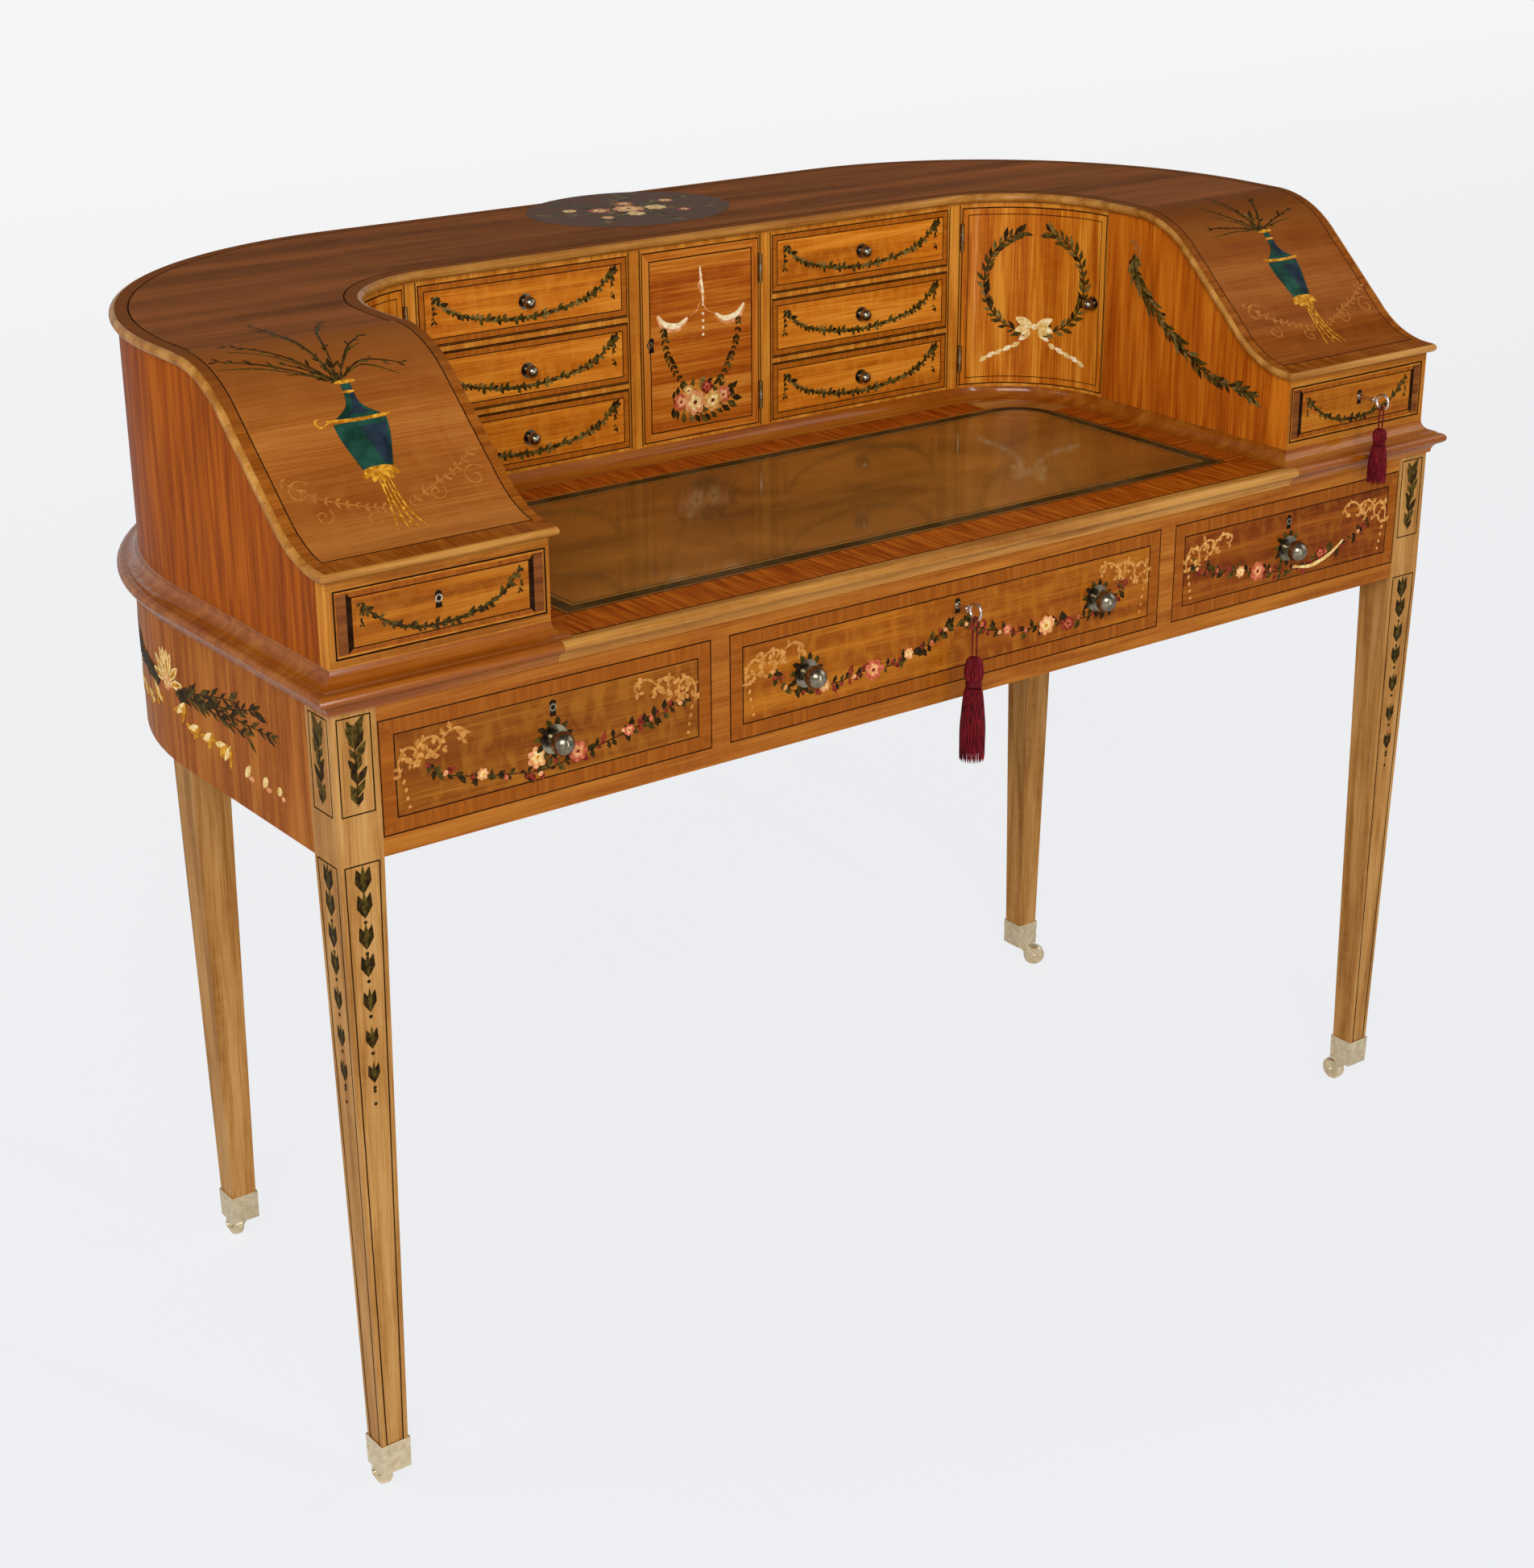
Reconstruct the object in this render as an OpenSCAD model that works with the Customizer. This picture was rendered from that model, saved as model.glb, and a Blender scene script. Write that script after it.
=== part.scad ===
// Carlton house desk: a D-shaped writing table with a gallery of drawers and doors
// that sweeps round three sides and falls in an S curve to a small drawer on each wing.
// Lengths are millimetres. X runs along the front, Y to the back, Z up from the floor.

/* [Overall] */
// Width over the table moulding
desk_w = 1320; // [1260:1:1400]
// Depth over the table moulding
desk_d = 648; // [630:1:700]
// Height to the flat of the gallery top
desk_h = 993; // [980:1:1010]
// Height of the writing table
table_h = 770; // [755:1:775]
// Length of each straight side, in front of the rounded back corner
side_l = 288; // [280:1:310]

/* [Table] */
// Thickness of the table top
top_t = 20; // [18:1:24]
// Thickness of the board under the top
bed_t = 12; // [8:1:14]
// How far the table moulding stands out from the top board
mould_out = 12; // [10:1:14]
// Radius of the table moulding's nose
mould_nose = 5; // [4:0.5:6]
// Width of the foot of the hollow under that nose
mould_foot = 1; // [1:0.5:2]
// How far the frieze is set back from the moulding
frieze_set = 14; // [12:1:18]

/* [Writing slide] */
// How far the writing slide pulls out
slide_travel = 200; // [120:10:240]
// Rim of the table top behind the writing slide
slide_rim = 36; // [32:1:60]
// Height of the tongue on each side of the slide
tongue_h = 6; // [4:1:8]
// How far the tongue reaches into the table top
tongue_out = 6; // [4:1:8]
// Distance from the side of the writing well to the leather
leather_side = 42; // [30:1:60]
// Distance from the moulding to the leather
leather_front = 62; // [50:1:80]
// Distance from the leather to the gallery's face
leather_rear = 49; // [40:1:80]
// Thickness of the leather
leather_t = 1.3; // [1:0.1:2]
// Radius of the leather's back corners
leather_r = 50; // [20:1:70]

/* [Frieze] */
// Height of the frieze
frieze_h = 131; // [120:1:140]
// Thickness of the curved side and back boards
apron_t = 16; // [12:1:18]
// Thickness of the front rails and muntins
rail_t = 20; // [16:1:24]
// Height of the rail under the frieze drawers
low_rail_h = 16.5; // [12:0.5:20]
// Height of the rail over the frieze drawers
high_rail_h = 14; // [12:0.5:16]
// Half width of the middle drawer's opening
bay_half = 260; // [240:1:280]
// Width of each muntin
muntin_w = 19; // [16:1:24]
// Thickness of the division behind each muntin
division_t = 15; // [12:1:16]
// Width of the ledge that a drawer runs on
ledge_w = 9; // [6:1:12]

/* [Legs] */
// Width of a leg at the top
leg_w = 41; // [38:1:44]
// Width of a leg at the foot
leg_foot_w = 25; // [22:1:28]
// Height of the foot of the wood above the floor
leg_z0 = 34; // [32:1:38]
// Angle round the back corner at which the back legs stand
back_leg_angle = 42; // [38:1:46]
// How far the back legs stay inside the frieze's face
back_leg_in = 1; // [0.5:0.5:6]
// Width of the post on each back leg, inside the frieze
post_w = 30; // [24:1:30]

/* [Castors] */
// Wall of the brass cup
cup_t = 1.5; // [1:0.1:2]
// Height of the cup's rim above the floor
cup_z1 = 60; // [55:1:70]
// Thickness of the cup's floor
cup_floor = 4; // [3:0.5:5]
// Radius of the castor wheel
wheel_r = 12.5; // [11:0.5:13]
// Width of the castor wheel
wheel_w = 11; // [9:0.5:12]
// Distance from the swivel pin to the axle
trail = 18; // [14:1:20]
// Radius of the axle
axle_r = 2; // [1.5:0.1:2.5]
// Radius of the swivel pin
swivel_r = 3; // [2.5:0.1:4]
// Length of the swivel pin
swivel_l = 16; // [12:1:20]
// Thickness of the horn's cheeks
cheek_t = 2.4; // [2:0.1:3]

/* [Gallery] */
// How far the gallery is set back from the table moulding
carcase_set = 20; // [18:1:24]
// Width of each wing
wing_w = 204; // [195:1:215]
// Distance from the table moulding to the gallery's face
well_y = 415; // [400:1:425]
// Plan radius of the well's corners
well_r = 125; // [115:1:135]
// Thickness of the gallery's walls
wall_t = 10; // [8:1:12]
// Thickness of the gallery's face and of its doors
face_t = 12; // [10:1:14]
// Thickness of the frame at the front of each wing
wing_front_t = 14; // [12:1:16]
// Distance from the centre door's free edge to its keyhole
door_lock_in = 9; // [8:0.5:14]
// How far the moulding at the gallery's foot stands out
foot_out = 12; // [6:1:13]
// Height of the square lip under its hollow
foot_square = 2; // [1:0.5:4]
// Thickness of the gallery's floor
floor_t = 10; // [8:1:10]
// Height of the rail under the bottom drawers
sill_h = 3; // [2.5:0.5:5]
// Height of the rails between the small drawers
small_rail = 7.5; // [6:0.5:10]
// Height of the rail over the top drawers
head_rail = 5.5; // [4:0.5:8]
// Half width of the centre door's opening
door_half = 72; // [66:1:76]
// Width of the posts in the gallery's face
stile_w = 16; // [14:1:18]
// How far the small drawers reach past the start of the well's corners
small_past = 11; // [4:1:14]
// Width of the post between a corner door and its wing
jamb_w = 20; // [16:1:24]
// Thickness of the divisions inside the gallery
part_t = 10; // [8:1:12]
// Thickness of the dust boards
dust_t = 6; // [5:0.5:6]

/* [Gallery top] */
// Thickness of the top board
board_t = 9; // [8:1:12]
// How far its nosing overhangs the walls
nose_out = 7; // [6:1:9]
// Height of the top of a wing at its front, over the table
wing_h = 95; // [90:1:105]
// Radius of the hollow at the foot of the S curve
hollow_r = 100; // [85:1:115]
// Radius of the round at the head of the S curve
round_r = 118; // [100:1:125]
// Distance from the table moulding to the flat of the top, behind the S curve
flat_y = 244; // [238:1:252]
// Flat lip in front of the hollow
lip = 1; // [1:0.5:4]

/* [Drawers] */
// Thickness of a frieze drawer's front
front_t = 18; // [16:1:20]
// Thickness of drawer sides and backs
side_t = 9; // [7:1:10]
// Thickness of the small drawers' sides and backs
thin_t = 6; // [5:1:8]
// Depth of a frieze drawer
frieze_drawer_d = 386; // [340:1:390]
// Free depth behind a small gallery drawer
small_behind = 13; // [8:1:40]
// Depth of a wing drawer
wing_drawer_d = 230; // [200:1:236]
// How far a frieze drawer pulls out
frieze_pull = 280; // [200:10:300]
// How far a small gallery drawer pulls out
small_pull = 150; // [100:10:160]
// How far a wing drawer pulls out
wing_pull = 170; // [120:10:190]
// Width of the stile outside a wing drawer
wing_stile = 8; // [6:1:10]
// Width of the stile inside a wing drawer
wing_inner_stile = 5; // [4:1:8]
// Height of the rail under a wing drawer
wing_sill = 9; // [7:1:10]
// Height of a wing drawer's opening
wing_open_h = 52; // [46:1:54]

/* [Brass] */
// Radius of a frieze knob
knob_r = 13; // [10:0.5:15]
// Radius of a small knob
small_knob_r = 7.5; // [6:0.5:9]
// Distance of a side drawer's knob from the front leg
side_knob_in = 164; // [140:1:180]
// Distance of the middle drawer's knobs from its keyhole
mid_knob_x = 176; // [150:1:200]
// Height of the frieze keyholes above the drawer's middle
keyhole_up = 25; // [18:1:28]
// Distance of a wing keyhole from the desk's side wall
wing_key_in = 100; // [80:1:120]
// Length of a lock case
lock_w = 38; // [30:1:46]
// Height of a lock case
lock_h = 30; // [24:1:34]
// Thickness of a lock case
lock_t = 8; // [6:0.5:10]
// Radius of a key's shank
shank_r = 2; // [1.5:0.1:2.5]
// Mean radius of a key's bow
bow_r = 7.5; // [6:0.5:9]
// Radius of the wire in the bow
wire_r = 1.4; // [1:0.1:1.8]
// How far the middle key stands out of its drawer
key_reach = 34; // [28:1:38]
// Radius of the bit's sweep
bit_r = 6; // [4:0.5:7]

/* [Hinges] */
// Height of a hinge
leaf_h = 28; // [22:1:34]
// Thickness of a leaf
leaf_t = 0.9; // [0.8:0.1:1.2]
// Depth of a leaf
leaf_d = 9; // [7:1:11]
// Radius of the knuckle
barrel_r = 2.2; // [1.8:0.1:2.8]
// Radius of the hinge pin
hinge_pin_r = 1; // [0.8:0.1:1.2]
// Distance from the door's end to the middle of a hinge
hinge_in = 30; // [22:1:40]

/* [Tassels] */
// Radius of the cord
cord_r = 0.8; // [0.6:0.1:1]
// Length of the middle tassel
tassel_l = 104; // [80:1:120]
// Largest radius of the middle tassel's skirt
skirt_r = 13; // [9:0.5:15]
// Length of the wing tassel
wing_tassel_l = 58; // [40:1:60]
// Largest radius of the wing tassel's skirt
wing_skirt_r = 10.5; // [8:0.5:12]

/* [Clearances] */
// Gap round a drawer front or a door
gap = 0.4; // [0.3:0.1:0.8]
// Gap between fixed curved pieces
snug = 0.1; // [0.05:0.05:0.2]
// Radial play of a pin in its bore
play = 0.05; // [0.02:0.01:0.08]

/* [Hidden] */
$fn = 72;
far = 60;

// Routes of the two doubled tassel cords, as [x, z] from the wire that they hang on
mid_route = [[-2.7, -36], [-2.7, -32], [-2.7, -28], [-2.7, -24], [-2.7, -20], [-2.7, -16],
    [-2.7, -12], [-2.7, -8], [-2.7, -4], [-2.7, 0], [-2.3, 1.4], [-1.4, 2.3], [0, 2.7],
    [1.4, 2.3], [2.3, 1.4], [2.7, 0], [2.7, -4], [2.7, -8], [2.7, -12], [2.7, -16],
    [2.7, -20], [2.7, -24], [2.7, -28], [2.7, -32], [2.7, -36]];
wing_route = [[-2.7, -20], [-2.7, -16], [-2.7, -12], [-2.7, -8], [-2.7, -4], [-2.7, 0],
    [-2.3, 1.4], [-1.4, 2.3], [0, 2.7], [1.4, 2.3], [2.3, 1.4], [2.7, 0], [2.7, -4],
    [2.7, -8], [2.7, -12], [2.7, -16], [2.7, -20]];

// Levels
top_z0 = table_h - top_t;
frieze_z = top_z0 - frieze_h;
drawer_z0 = frieze_z + low_rail_h;
drawer_z1 = top_z0 - high_rail_h;
foot_h = foot_square + foot_out;
wall_z0 = table_h + foot_h;
wall_z1 = desk_h - board_t;
sill_z = wall_z0 + sill_h;
head_z = wall_z1 - head_rail;
small_h = (head_z - sill_z - 2 * small_rail) / 3;
floor_z1 = sill_z;
cup_z0 = leg_z0 - cup_floor;
wing_z = table_h + wing_h;
stop_h = 30;

// Places in plan, measured from the middle and from the front of the moulding
corner_r = desk_d - side_l;
well_x = desk_w / 2 - carcase_set - wing_w;
leg_x = desk_w / 2 - frieze_set - leg_w / 2;
leg_y = frieze_set + leg_w / 2;
inner_x = desk_w / 2 - frieze_set - leg_w;
arc_x = desk_w / 2 - corner_r;
arc_y = desk_d - corner_r;
back_corner = [arc_x, arc_y]
    + (corner_r - frieze_set - back_leg_in) * [cos(back_leg_angle), sin(back_leg_angle)];
back_leg = back_corner - [leg_w / 2, leg_w / 2];
post_corner = [arc_x, arc_y]
    + (corner_r - frieze_set - apron_t - snug) * [cos(back_leg_angle), sin(back_leg_angle)];
back_post = post_corner - [post_w / 2, post_w / 2];
nose_set = carcase_set - nose_out;
body_x = desk_w / 2 - carcase_set;
frame_y = carcase_set + wing_front_t;
jamb_y = well_y - well_r - jamb_w;
slide_x = well_x - 0.1;
channel_x = slide_x + gap;
slide_z = table_h - 0.3;
slide_d = desk_d - slide_rim;
leather_w = 2 * (well_x - leather_side);
leather_d = well_y - leather_rear - leather_front;
side_knob_x = inner_x - side_knob_in;
tongue_y = carcase_set + slide_travel;
tongue_z = slide_z - 9 - tongue_h;
front_reach = key_reach - frieze_set;
bow_y = bow_r + wire_r - front_reach;
middle_y = (desk_d - front_reach) / 2;

// The S curve of the gallery top, in Y and Z
flat_drop = desk_h - wing_z;
ogee_front = nose_set + board_t / 2 + lip;
ogee_back = flat_y;
both_r = hollow_r + round_r;
centres = [ogee_back - ogee_front, flat_drop - both_r];
slope_a = atan2(centres.y, centres.x) + asin(both_r / norm(centres));
slope_l = sqrt(centres * centres - both_r * both_r);

// Corner doors
well_cx = well_x - well_r;
well_cy = well_y - well_r;
small_x0 = door_half + stile_w;
small_x1 = well_cx + small_past;
small_w = small_x1 - small_x0;
small_drawer_d = desk_d - carcase_set - wall_t - small_behind - well_y;
post_a = asin((small_x1 + stile_w - well_cx) / well_r);
half_gap_a = gap / 2 / well_r * 180 / PI;
joint_a = post_a + half_gap_a;
pin_set = barrel_r + 0.2;
corner_pin = [well_cx, well_cy] + (well_r - pin_set) * [sin(joint_a), cos(joint_a)];
corner_swing = norm([well_x, well_cy] - corner_pin);
corner_knob_a = 82;
centre_joint_x = door_half - gap / 2;
door_z0 = sill_z + gap;
door_z1 = head_z - gap;

// Wing drawers
wing_x0 = well_x + wing_inner_stile;
wing_x1 = body_x - wing_stile;
wing_key_x = body_x - wing_key_in;
wing_z0 = wall_z0 + wing_sill;
wing_key_z = wing_z0 + wing_open_h * 0.6;
frieze_key_z = (drawer_z0 + drawer_z1) / 2 + keyhole_up;
frieze_knob_z = (drawer_z0 + drawer_z1) / 2 - 3;
leather_back = leather_front + leather_d;

CORNERS = [[-leg_x, leg_y], [leg_x, leg_y], [-back_leg.x, back_leg.y], back_leg];
TRAILS = [85, 95, 85, -34];

// Everything is drawn from the front of the moulding and then centred on the origin.
module placed() {
    translate([0, -middle_y, 0]) children();
}

module both_sides() {
    for (s = [0, 1]) mirror([s, 0, 0]) children();
}

module on_side(s) {
    mirror([s < 0 ? 1 : 0, 0, 0]) children();
}

// A box from one corner to the opposite one
module block(a, b) {
    translate(a) cube(b - a);
}

// The desk's D plan, drawn in by inset
module plan(inset) {
    translate([-desk_w / 2 + inset, inset]) square([desk_w - 2 * inset, arc_y - inset]);
    translate([-arc_x, inset]) square([2 * arc_x, desk_d - 2 * inset]);
    intersection() {
        for (s = [-1, 1]) translate([s * arc_x, arc_y]) circle(corner_r - inset);
        behind(arc_y - 1);
    }
}

// The open well between the wings, grown outwards
module well(grow) {
    translate([-well_x - grow, -far]) square([2 * (well_x + grow), well_cy + far]);
    translate([-well_cx, -far]) square([2 * well_cx, well_y + grow + far]);
    for (s = [-1, 1]) translate([s * well_cx, well_cy]) circle(well_r + grow);
}

// Everything behind a line across the desk
module behind(y) {
    translate([-desk_w, y]) square([2 * desk_w, desk_d]);
}

// Sweeps an outline, X outwards and Y up, round the sides and back of the plan
module round_plan(inset, front) {
    side = desk_w / 2 - inset;
    both_sides() {
        translate([side, arc_y, 0]) rotate([90, 0, 0]) linear_extrude(arc_y - front) children();
        translate([arc_x, arc_y, 0]) rotate_extrude(angle = 90) translate([corner_r - inset, 0]) children();
    }
    translate([-arc_x, desk_d - inset, 0]) rotate([90, 0, 90]) linear_extrude(2 * arc_x) children();
}

// The same round the well, with X pointing into the well
module round_well(grow, front) {
    both_sides() {
        translate([well_x + grow, well_cy, 0]) rotate([90, 0, 0]) linear_extrude(well_cy - front)
            mirror([1, 0]) children();
        translate([well_cx, well_cy, 0]) rotate_extrude(angle = 90)
            translate([well_r + grow, 0]) mirror([1, 0]) children();
    }
    translate([well_cx, well_y + grow, 0]) rotate([90, 0, -90]) linear_extrude(2 * well_cx) children();
}

// A straight run along the front from x1 to x2, X pointing to the viewer
module front_run(x1, x2, front) {
    translate([x2, front, 0]) rotate([90, 0, -90]) linear_extrude(x2 - x1) children();
}

// Front of a moulding with a mitre at its outer end and, where inner_out is over 0, at its inner end
module mitred_front(x1, x2, front, out, inner_out) {
    difference() {
        front_run(x1 - inner_out, x2 + out, front) children();
        translate([0, 0, -far]) linear_extrude(desk_h + 2 * far) {
            polygon([[x2, front], [x2 + out, front - out], [x2 + out + 1, front - out], [x2 + out + 1, front]]);
            if (inner_out > 0)
                polygon([[x1, front], [x1 - out, front - out], [x1 - out - 1, front - out], [x1 - out - 1, front]]);
        }
    }
}

// The short end of a side run in front of the front line, cut to the same mitre
module mitred_end(side, front, out, inward) {
    difference() {
        translate([side, front, 0]) rotate([90, 0, 0]) linear_extrude(out)
            mirror([inward ? 1 : 0, 0]) children();
        translate([side, front, -far]) mirror([inward ? 1 : 0, 0, 0]) linear_extrude(desk_h + 2 * far)
            polygon([[0, 0], [out, -out], [out, -out - 1], [-1, -out - 1], [-1, 0]]);
    }
}

// Legs and castors
function leg_half(z) = leg_foot_w / 2 + (leg_w - leg_foot_w) / 2 * (z - leg_z0) / (frieze_z - leg_z0);

module tapered_square(z0, z1, grow) {
    a = leg_half(z0) + grow;
    b = leg_half(z1) + grow;
    side = [[-a, z0], [a, z0], [b, z1], [-b, z1]];
    intersection() {
        rotate([90, 0, 0]) linear_extrude(2 * leg_w, center = true) polygon(side);
        rotate([90, 0, 90]) linear_extrude(2 * leg_w, center = true) polygon(side);
    }
}

module leg_outline(z1) {
    a = leg_foot_w / 2;
    b = leg_w / 2;
    polygon([[-a, leg_z0], [a, leg_z0], [b, frieze_z], [b, z1], [-b, z1], [-b, frieze_z]]);
}

// Bores the hole for the castor's pin up a leg
module leg_bored() {
    difference() {
        children();
        translate([0, 0, leg_z0 - 1]) cylinder(h = swivel_l, r = swivel_r + 0.4);
    }
}

module leg_front(s) {
    color("#d9a35c") placed() translate([s * leg_x, leg_y, 0]) leg_bored() intersection() {
        rotate([90, 0, 0]) linear_extrude(2 * leg_w, center = true) leg_outline(top_z0);
        rotate([90, 0, 90]) linear_extrude(2 * leg_w, center = true) leg_outline(top_z0);
    }
}

module leg_back(s) {
    color("#cf9550") placed() on_side(s) {
        translate([back_leg.x, back_leg.y, 0]) leg_bored() tapered_square(leg_z0, frieze_z, 0);
        translate([back_post.x - post_w / 2, back_post.y - post_w / 2, frieze_z - 1])
            cube([post_w, post_w, frieze_h - bed_t + 1]);
    }
}

module castor_cup() {
    difference() {
        tapered_square(cup_z0, cup_z1, cup_t);
        tapered_square(leg_z0, cup_z1 + 1, play);
        translate([0, 0, cup_z0 - 1]) cylinder(h = cup_floor + 2, r = swivel_r + play);
    }
}

module castor_cups() {
    color("#c9a24a") placed() for (c = CORNERS) translate([c.x, c.y, 0]) castor_cup();
}

module horn_cheek() {
    polygon([[-6, cup_z0 - gap], [8, cup_z0 - gap], [trail + 4.5, wheel_r + 2],
        [trail - 4.6, wheel_r - 2]]);
    translate([trail, wheel_r]) circle(5);
}

module castor_horn(i) {
    reach = wheel_w / 2 + gap;
    plate_t = cup_z0 - gap - 2 * wheel_r - 1.2;
    color("#c9a24a") placed() translate([CORNERS[i].x, CORNERS[i].y, 0]) rotate(TRAILS[i]) {
        translate([0, 0, cup_z0 - gap - plate_t]) cylinder(h = plate_t, r = reach + cheek_t);
        translate([0, 0, cup_z0 - gap - 1]) cylinder(h = swivel_l, r = swivel_r);
        for (s = [0, 1]) mirror([0, s, 0])
            translate([0, reach + cheek_t, 0]) rotate([90, 0, 0]) linear_extrude(cheek_t) horn_cheek();
        translate([trail, 0, wheel_r]) rotate([90, 0, 0])
            cylinder(h = 2 * (reach + cheek_t + 0.8), r = axle_r, center = true);
        block([-reach, -reach - cheek_t, cup_z0 - gap - plate_t], [9, reach + cheek_t, cup_z0 - gap]);
    }
}

module castor_wheel(i) {
    color("#9c7b35") placed() translate([CORNERS[i].x, CORNERS[i].y, 0]) rotate(TRAILS[i])
        translate([trail, 0, wheel_r]) rotate([90, 0, 0]) rotate_extrude()
            polygon([[axle_r + play, -wheel_w / 2], [wheel_r - 2, -wheel_w / 2], [wheel_r, -wheel_w / 2 + 2],
                [wheel_r, wheel_w / 2 - 2], [wheel_r - 2, wheel_w / 2], [axle_r + play, wheel_w / 2]]);
}

// Frieze
module frieze_apron() {
    color("#c77f32") placed() translate([0, 0, frieze_z]) linear_extrude(frieze_h) intersection() {
        difference() {
            plan(frieze_set);
            plan(frieze_set + apron_t);
        }
        behind(frieze_set + leg_w);
    }
}

module frieze_frame() {
    color("#d9a35c") placed() translate([0, frieze_set + rail_t, 0]) rotate([90, 0, 0]) linear_extrude(rail_t) {
        translate([-inner_x, frieze_z]) square([2 * inner_x, low_rail_h]);
        translate([-inner_x, drawer_z1]) square([2 * inner_x, high_rail_h]);
        for (s = [-1, 1]) translate([s * (bay_half + muntin_w / 2) - muntin_w / 2, frieze_z])
            square([muntin_w, frieze_h]);
    }
}

module drawer_runners() {
    mid = bay_half + muntin_w / 2;
    front = frieze_set + rail_t;
    back = desk_d - frieze_set - apron_t;
    side = desk_w / 2 - frieze_set - apron_t;
    low = frieze_z + 1;
    color("#b98a50") placed() both_sides() {
        block([mid - division_t / 2, front, low], [mid + division_t / 2, back, top_z0 - bed_t]);
        block([mid - division_t / 2 - ledge_w, front, low], [mid + division_t / 2 + ledge_w, back, drawer_z0]);
        block([inner_x - ledge_w, frieze_set + leg_w, low], [side, arc_y, drawer_z0]);
        block([inner_x, frieze_set + leg_w, low], [side, arc_y, drawer_z0 + stop_h]);
    }
}

// Table
module table_top() {
    bed_in = frieze_set + apron_t;
    color("#b5652b") placed() {
        translate([0, 0, top_z0 - bed_t]) linear_extrude(bed_t) difference() {
            intersection() {
                plan(bed_in + snug);
                behind(frieze_set + rail_t);
            }
            for (s = [-1, 1]) translate([s * leg_x - leg_w / 2, leg_y - leg_w / 2]) square(leg_w);
        }
        difference() {
            translate([0, 0, top_z0]) linear_extrude(top_t) plan(mould_out + snug);
            translate([0, 0, top_z0 - 1]) linear_extrude(top_t + 2) slide_plan(channel_x, -far, gap);
            translate([0, 0, tongue_z - gap]) linear_extrude(tongue_h + 2 * gap)
                slide_plan(channel_x + tongue_out, tongue_y - slide_travel - gap, gap);
        }
    }
}

// A round nose over a hollow
module table_profile() {
    under = top_t - 2 * mould_nose;
    cove_r = under - mould_foot;
    in = mould_out - mould_nose;
    difference() {
        square([in, top_t]);
        translate([cove_r + mould_foot, mould_foot]) circle(cove_r);
    }
    translate([0, under]) square([in, 2 * mould_nose]);
    translate([in, top_t - mould_nose]) circle(mould_nose);
}

module table_moulding() {
    side = desk_w / 2 - mould_out;
    color("#d39a4c") placed() translate([0, 0, top_z0]) {
        round_plan(mould_out, mould_out) table_profile();
        both_sides() {
            mitred_end(side, mould_out, mould_out, false) table_profile();
            mitred_front(channel_x, side, mould_out, mould_out, 0) table_profile();
        }
    }
}

module leather_plan(grow) {
    translate([-leather_w / 2 - grow, leather_front - grow])
        square([leather_w + 2 * grow, leather_d - leather_r + grow]);
    translate([-leather_w / 2 + leather_r, leather_front - grow])
        square([leather_w - 2 * leather_r, leather_d + 2 * grow]);
    for (s = [-1, 1])
        translate([s * (leather_w / 2 - leather_r), leather_back - leather_r]) circle(leather_r + grow);
}

// The slide's plan behind the line y: half as wide as x2, and rounded at the back like the desk
module slide_plan(x2, y, grow) {
    intersection() {
        translate([-x2, y]) square([2 * x2, desk_d - y]);
        union() {
            plan(slide_rim - grow);
            translate([-x2, -far]) square([2 * x2, arc_y + far]);
        }
    }
}

module writing_slide() {
    color("#b5652b") placed() {
        difference() {
            translate([0, 0, top_z0 + 0.2]) linear_extrude(slide_z - top_z0 - 0.2) slide_plan(slide_x, mould_out, 0);
            translate([0, 0, slide_z - leather_t + 0.1]) linear_extrude(leather_t) leather_plan(snug);
        }
        translate([0, 0, tongue_z]) linear_extrude(tongue_h) slide_plan(slide_x + tongue_out, tongue_y, 0);
        translate([0, 0, slide_z - top_t]) front_run(-slide_x, slide_x, mould_out) table_profile();
    }
}

module leather_inset() {
    color("#6b5a2a") placed() translate([0, 0, slide_z - leather_t + 0.1]) linear_extrude(leather_t) leather_plan(0);
}

// Gallery foot
// A hollow that sweeps out to a square lip
module foot_profile() {
    difference() {
        square([foot_out, foot_h]);
        translate([foot_out, foot_h]) circle(foot_out);
    }
}

module gallery_foot_moulding() {
    color("#d39a4c") placed() {
        translate([0, 0, table_h]) {
            linear_extrude(foot_h) difference() {
                plan(carcase_set);
                well(0);
                intersection() {
                    difference() {
                        plan(carcase_set + face_t);
                        well(face_t);
                    }
                    behind(frame_y);
                }
            }
            round_plan(carcase_set, carcase_set) foot_profile();
            round_well(0, carcase_set) foot_profile();
            both_sides() {
                mitred_end(body_x, carcase_set, foot_out, false) foot_profile();
                mitred_end(well_x, carcase_set, foot_out, true) foot_profile();
                mitred_front(well_x, body_x, carcase_set, foot_out, foot_out) foot_profile();
            }
        }
    }
}

// The space under the gallery top, drop below its upper face, in Y and Z
module below_top(drop) {
    rc = [ogee_back, desk_h - round_r];
    hc = [ogee_front, wing_z + hollow_r];
    difference() {
        union() {
            polygon([[-far, 0], [desk_d + far, 0], [desk_d + far, desk_h - drop], [ogee_back, desk_h - drop],
                rc + (round_r - drop) * [-sin(slope_a), cos(slope_a)],
                hc + (hollow_r + drop) * [sin(slope_a), -cos(slope_a)],
                [ogee_front, wing_z - drop], [-far, wing_z - drop]]);
            translate(rc) circle(round_r - drop);
        }
        translate(hc) circle(hollow_r + drop);
    }
}

module under_board(x1, x2) {
    translate([x1, 0, 0]) rotate([90, 0, 90]) linear_extrude(x2 - x1) below_top(board_t + play);
}

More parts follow.
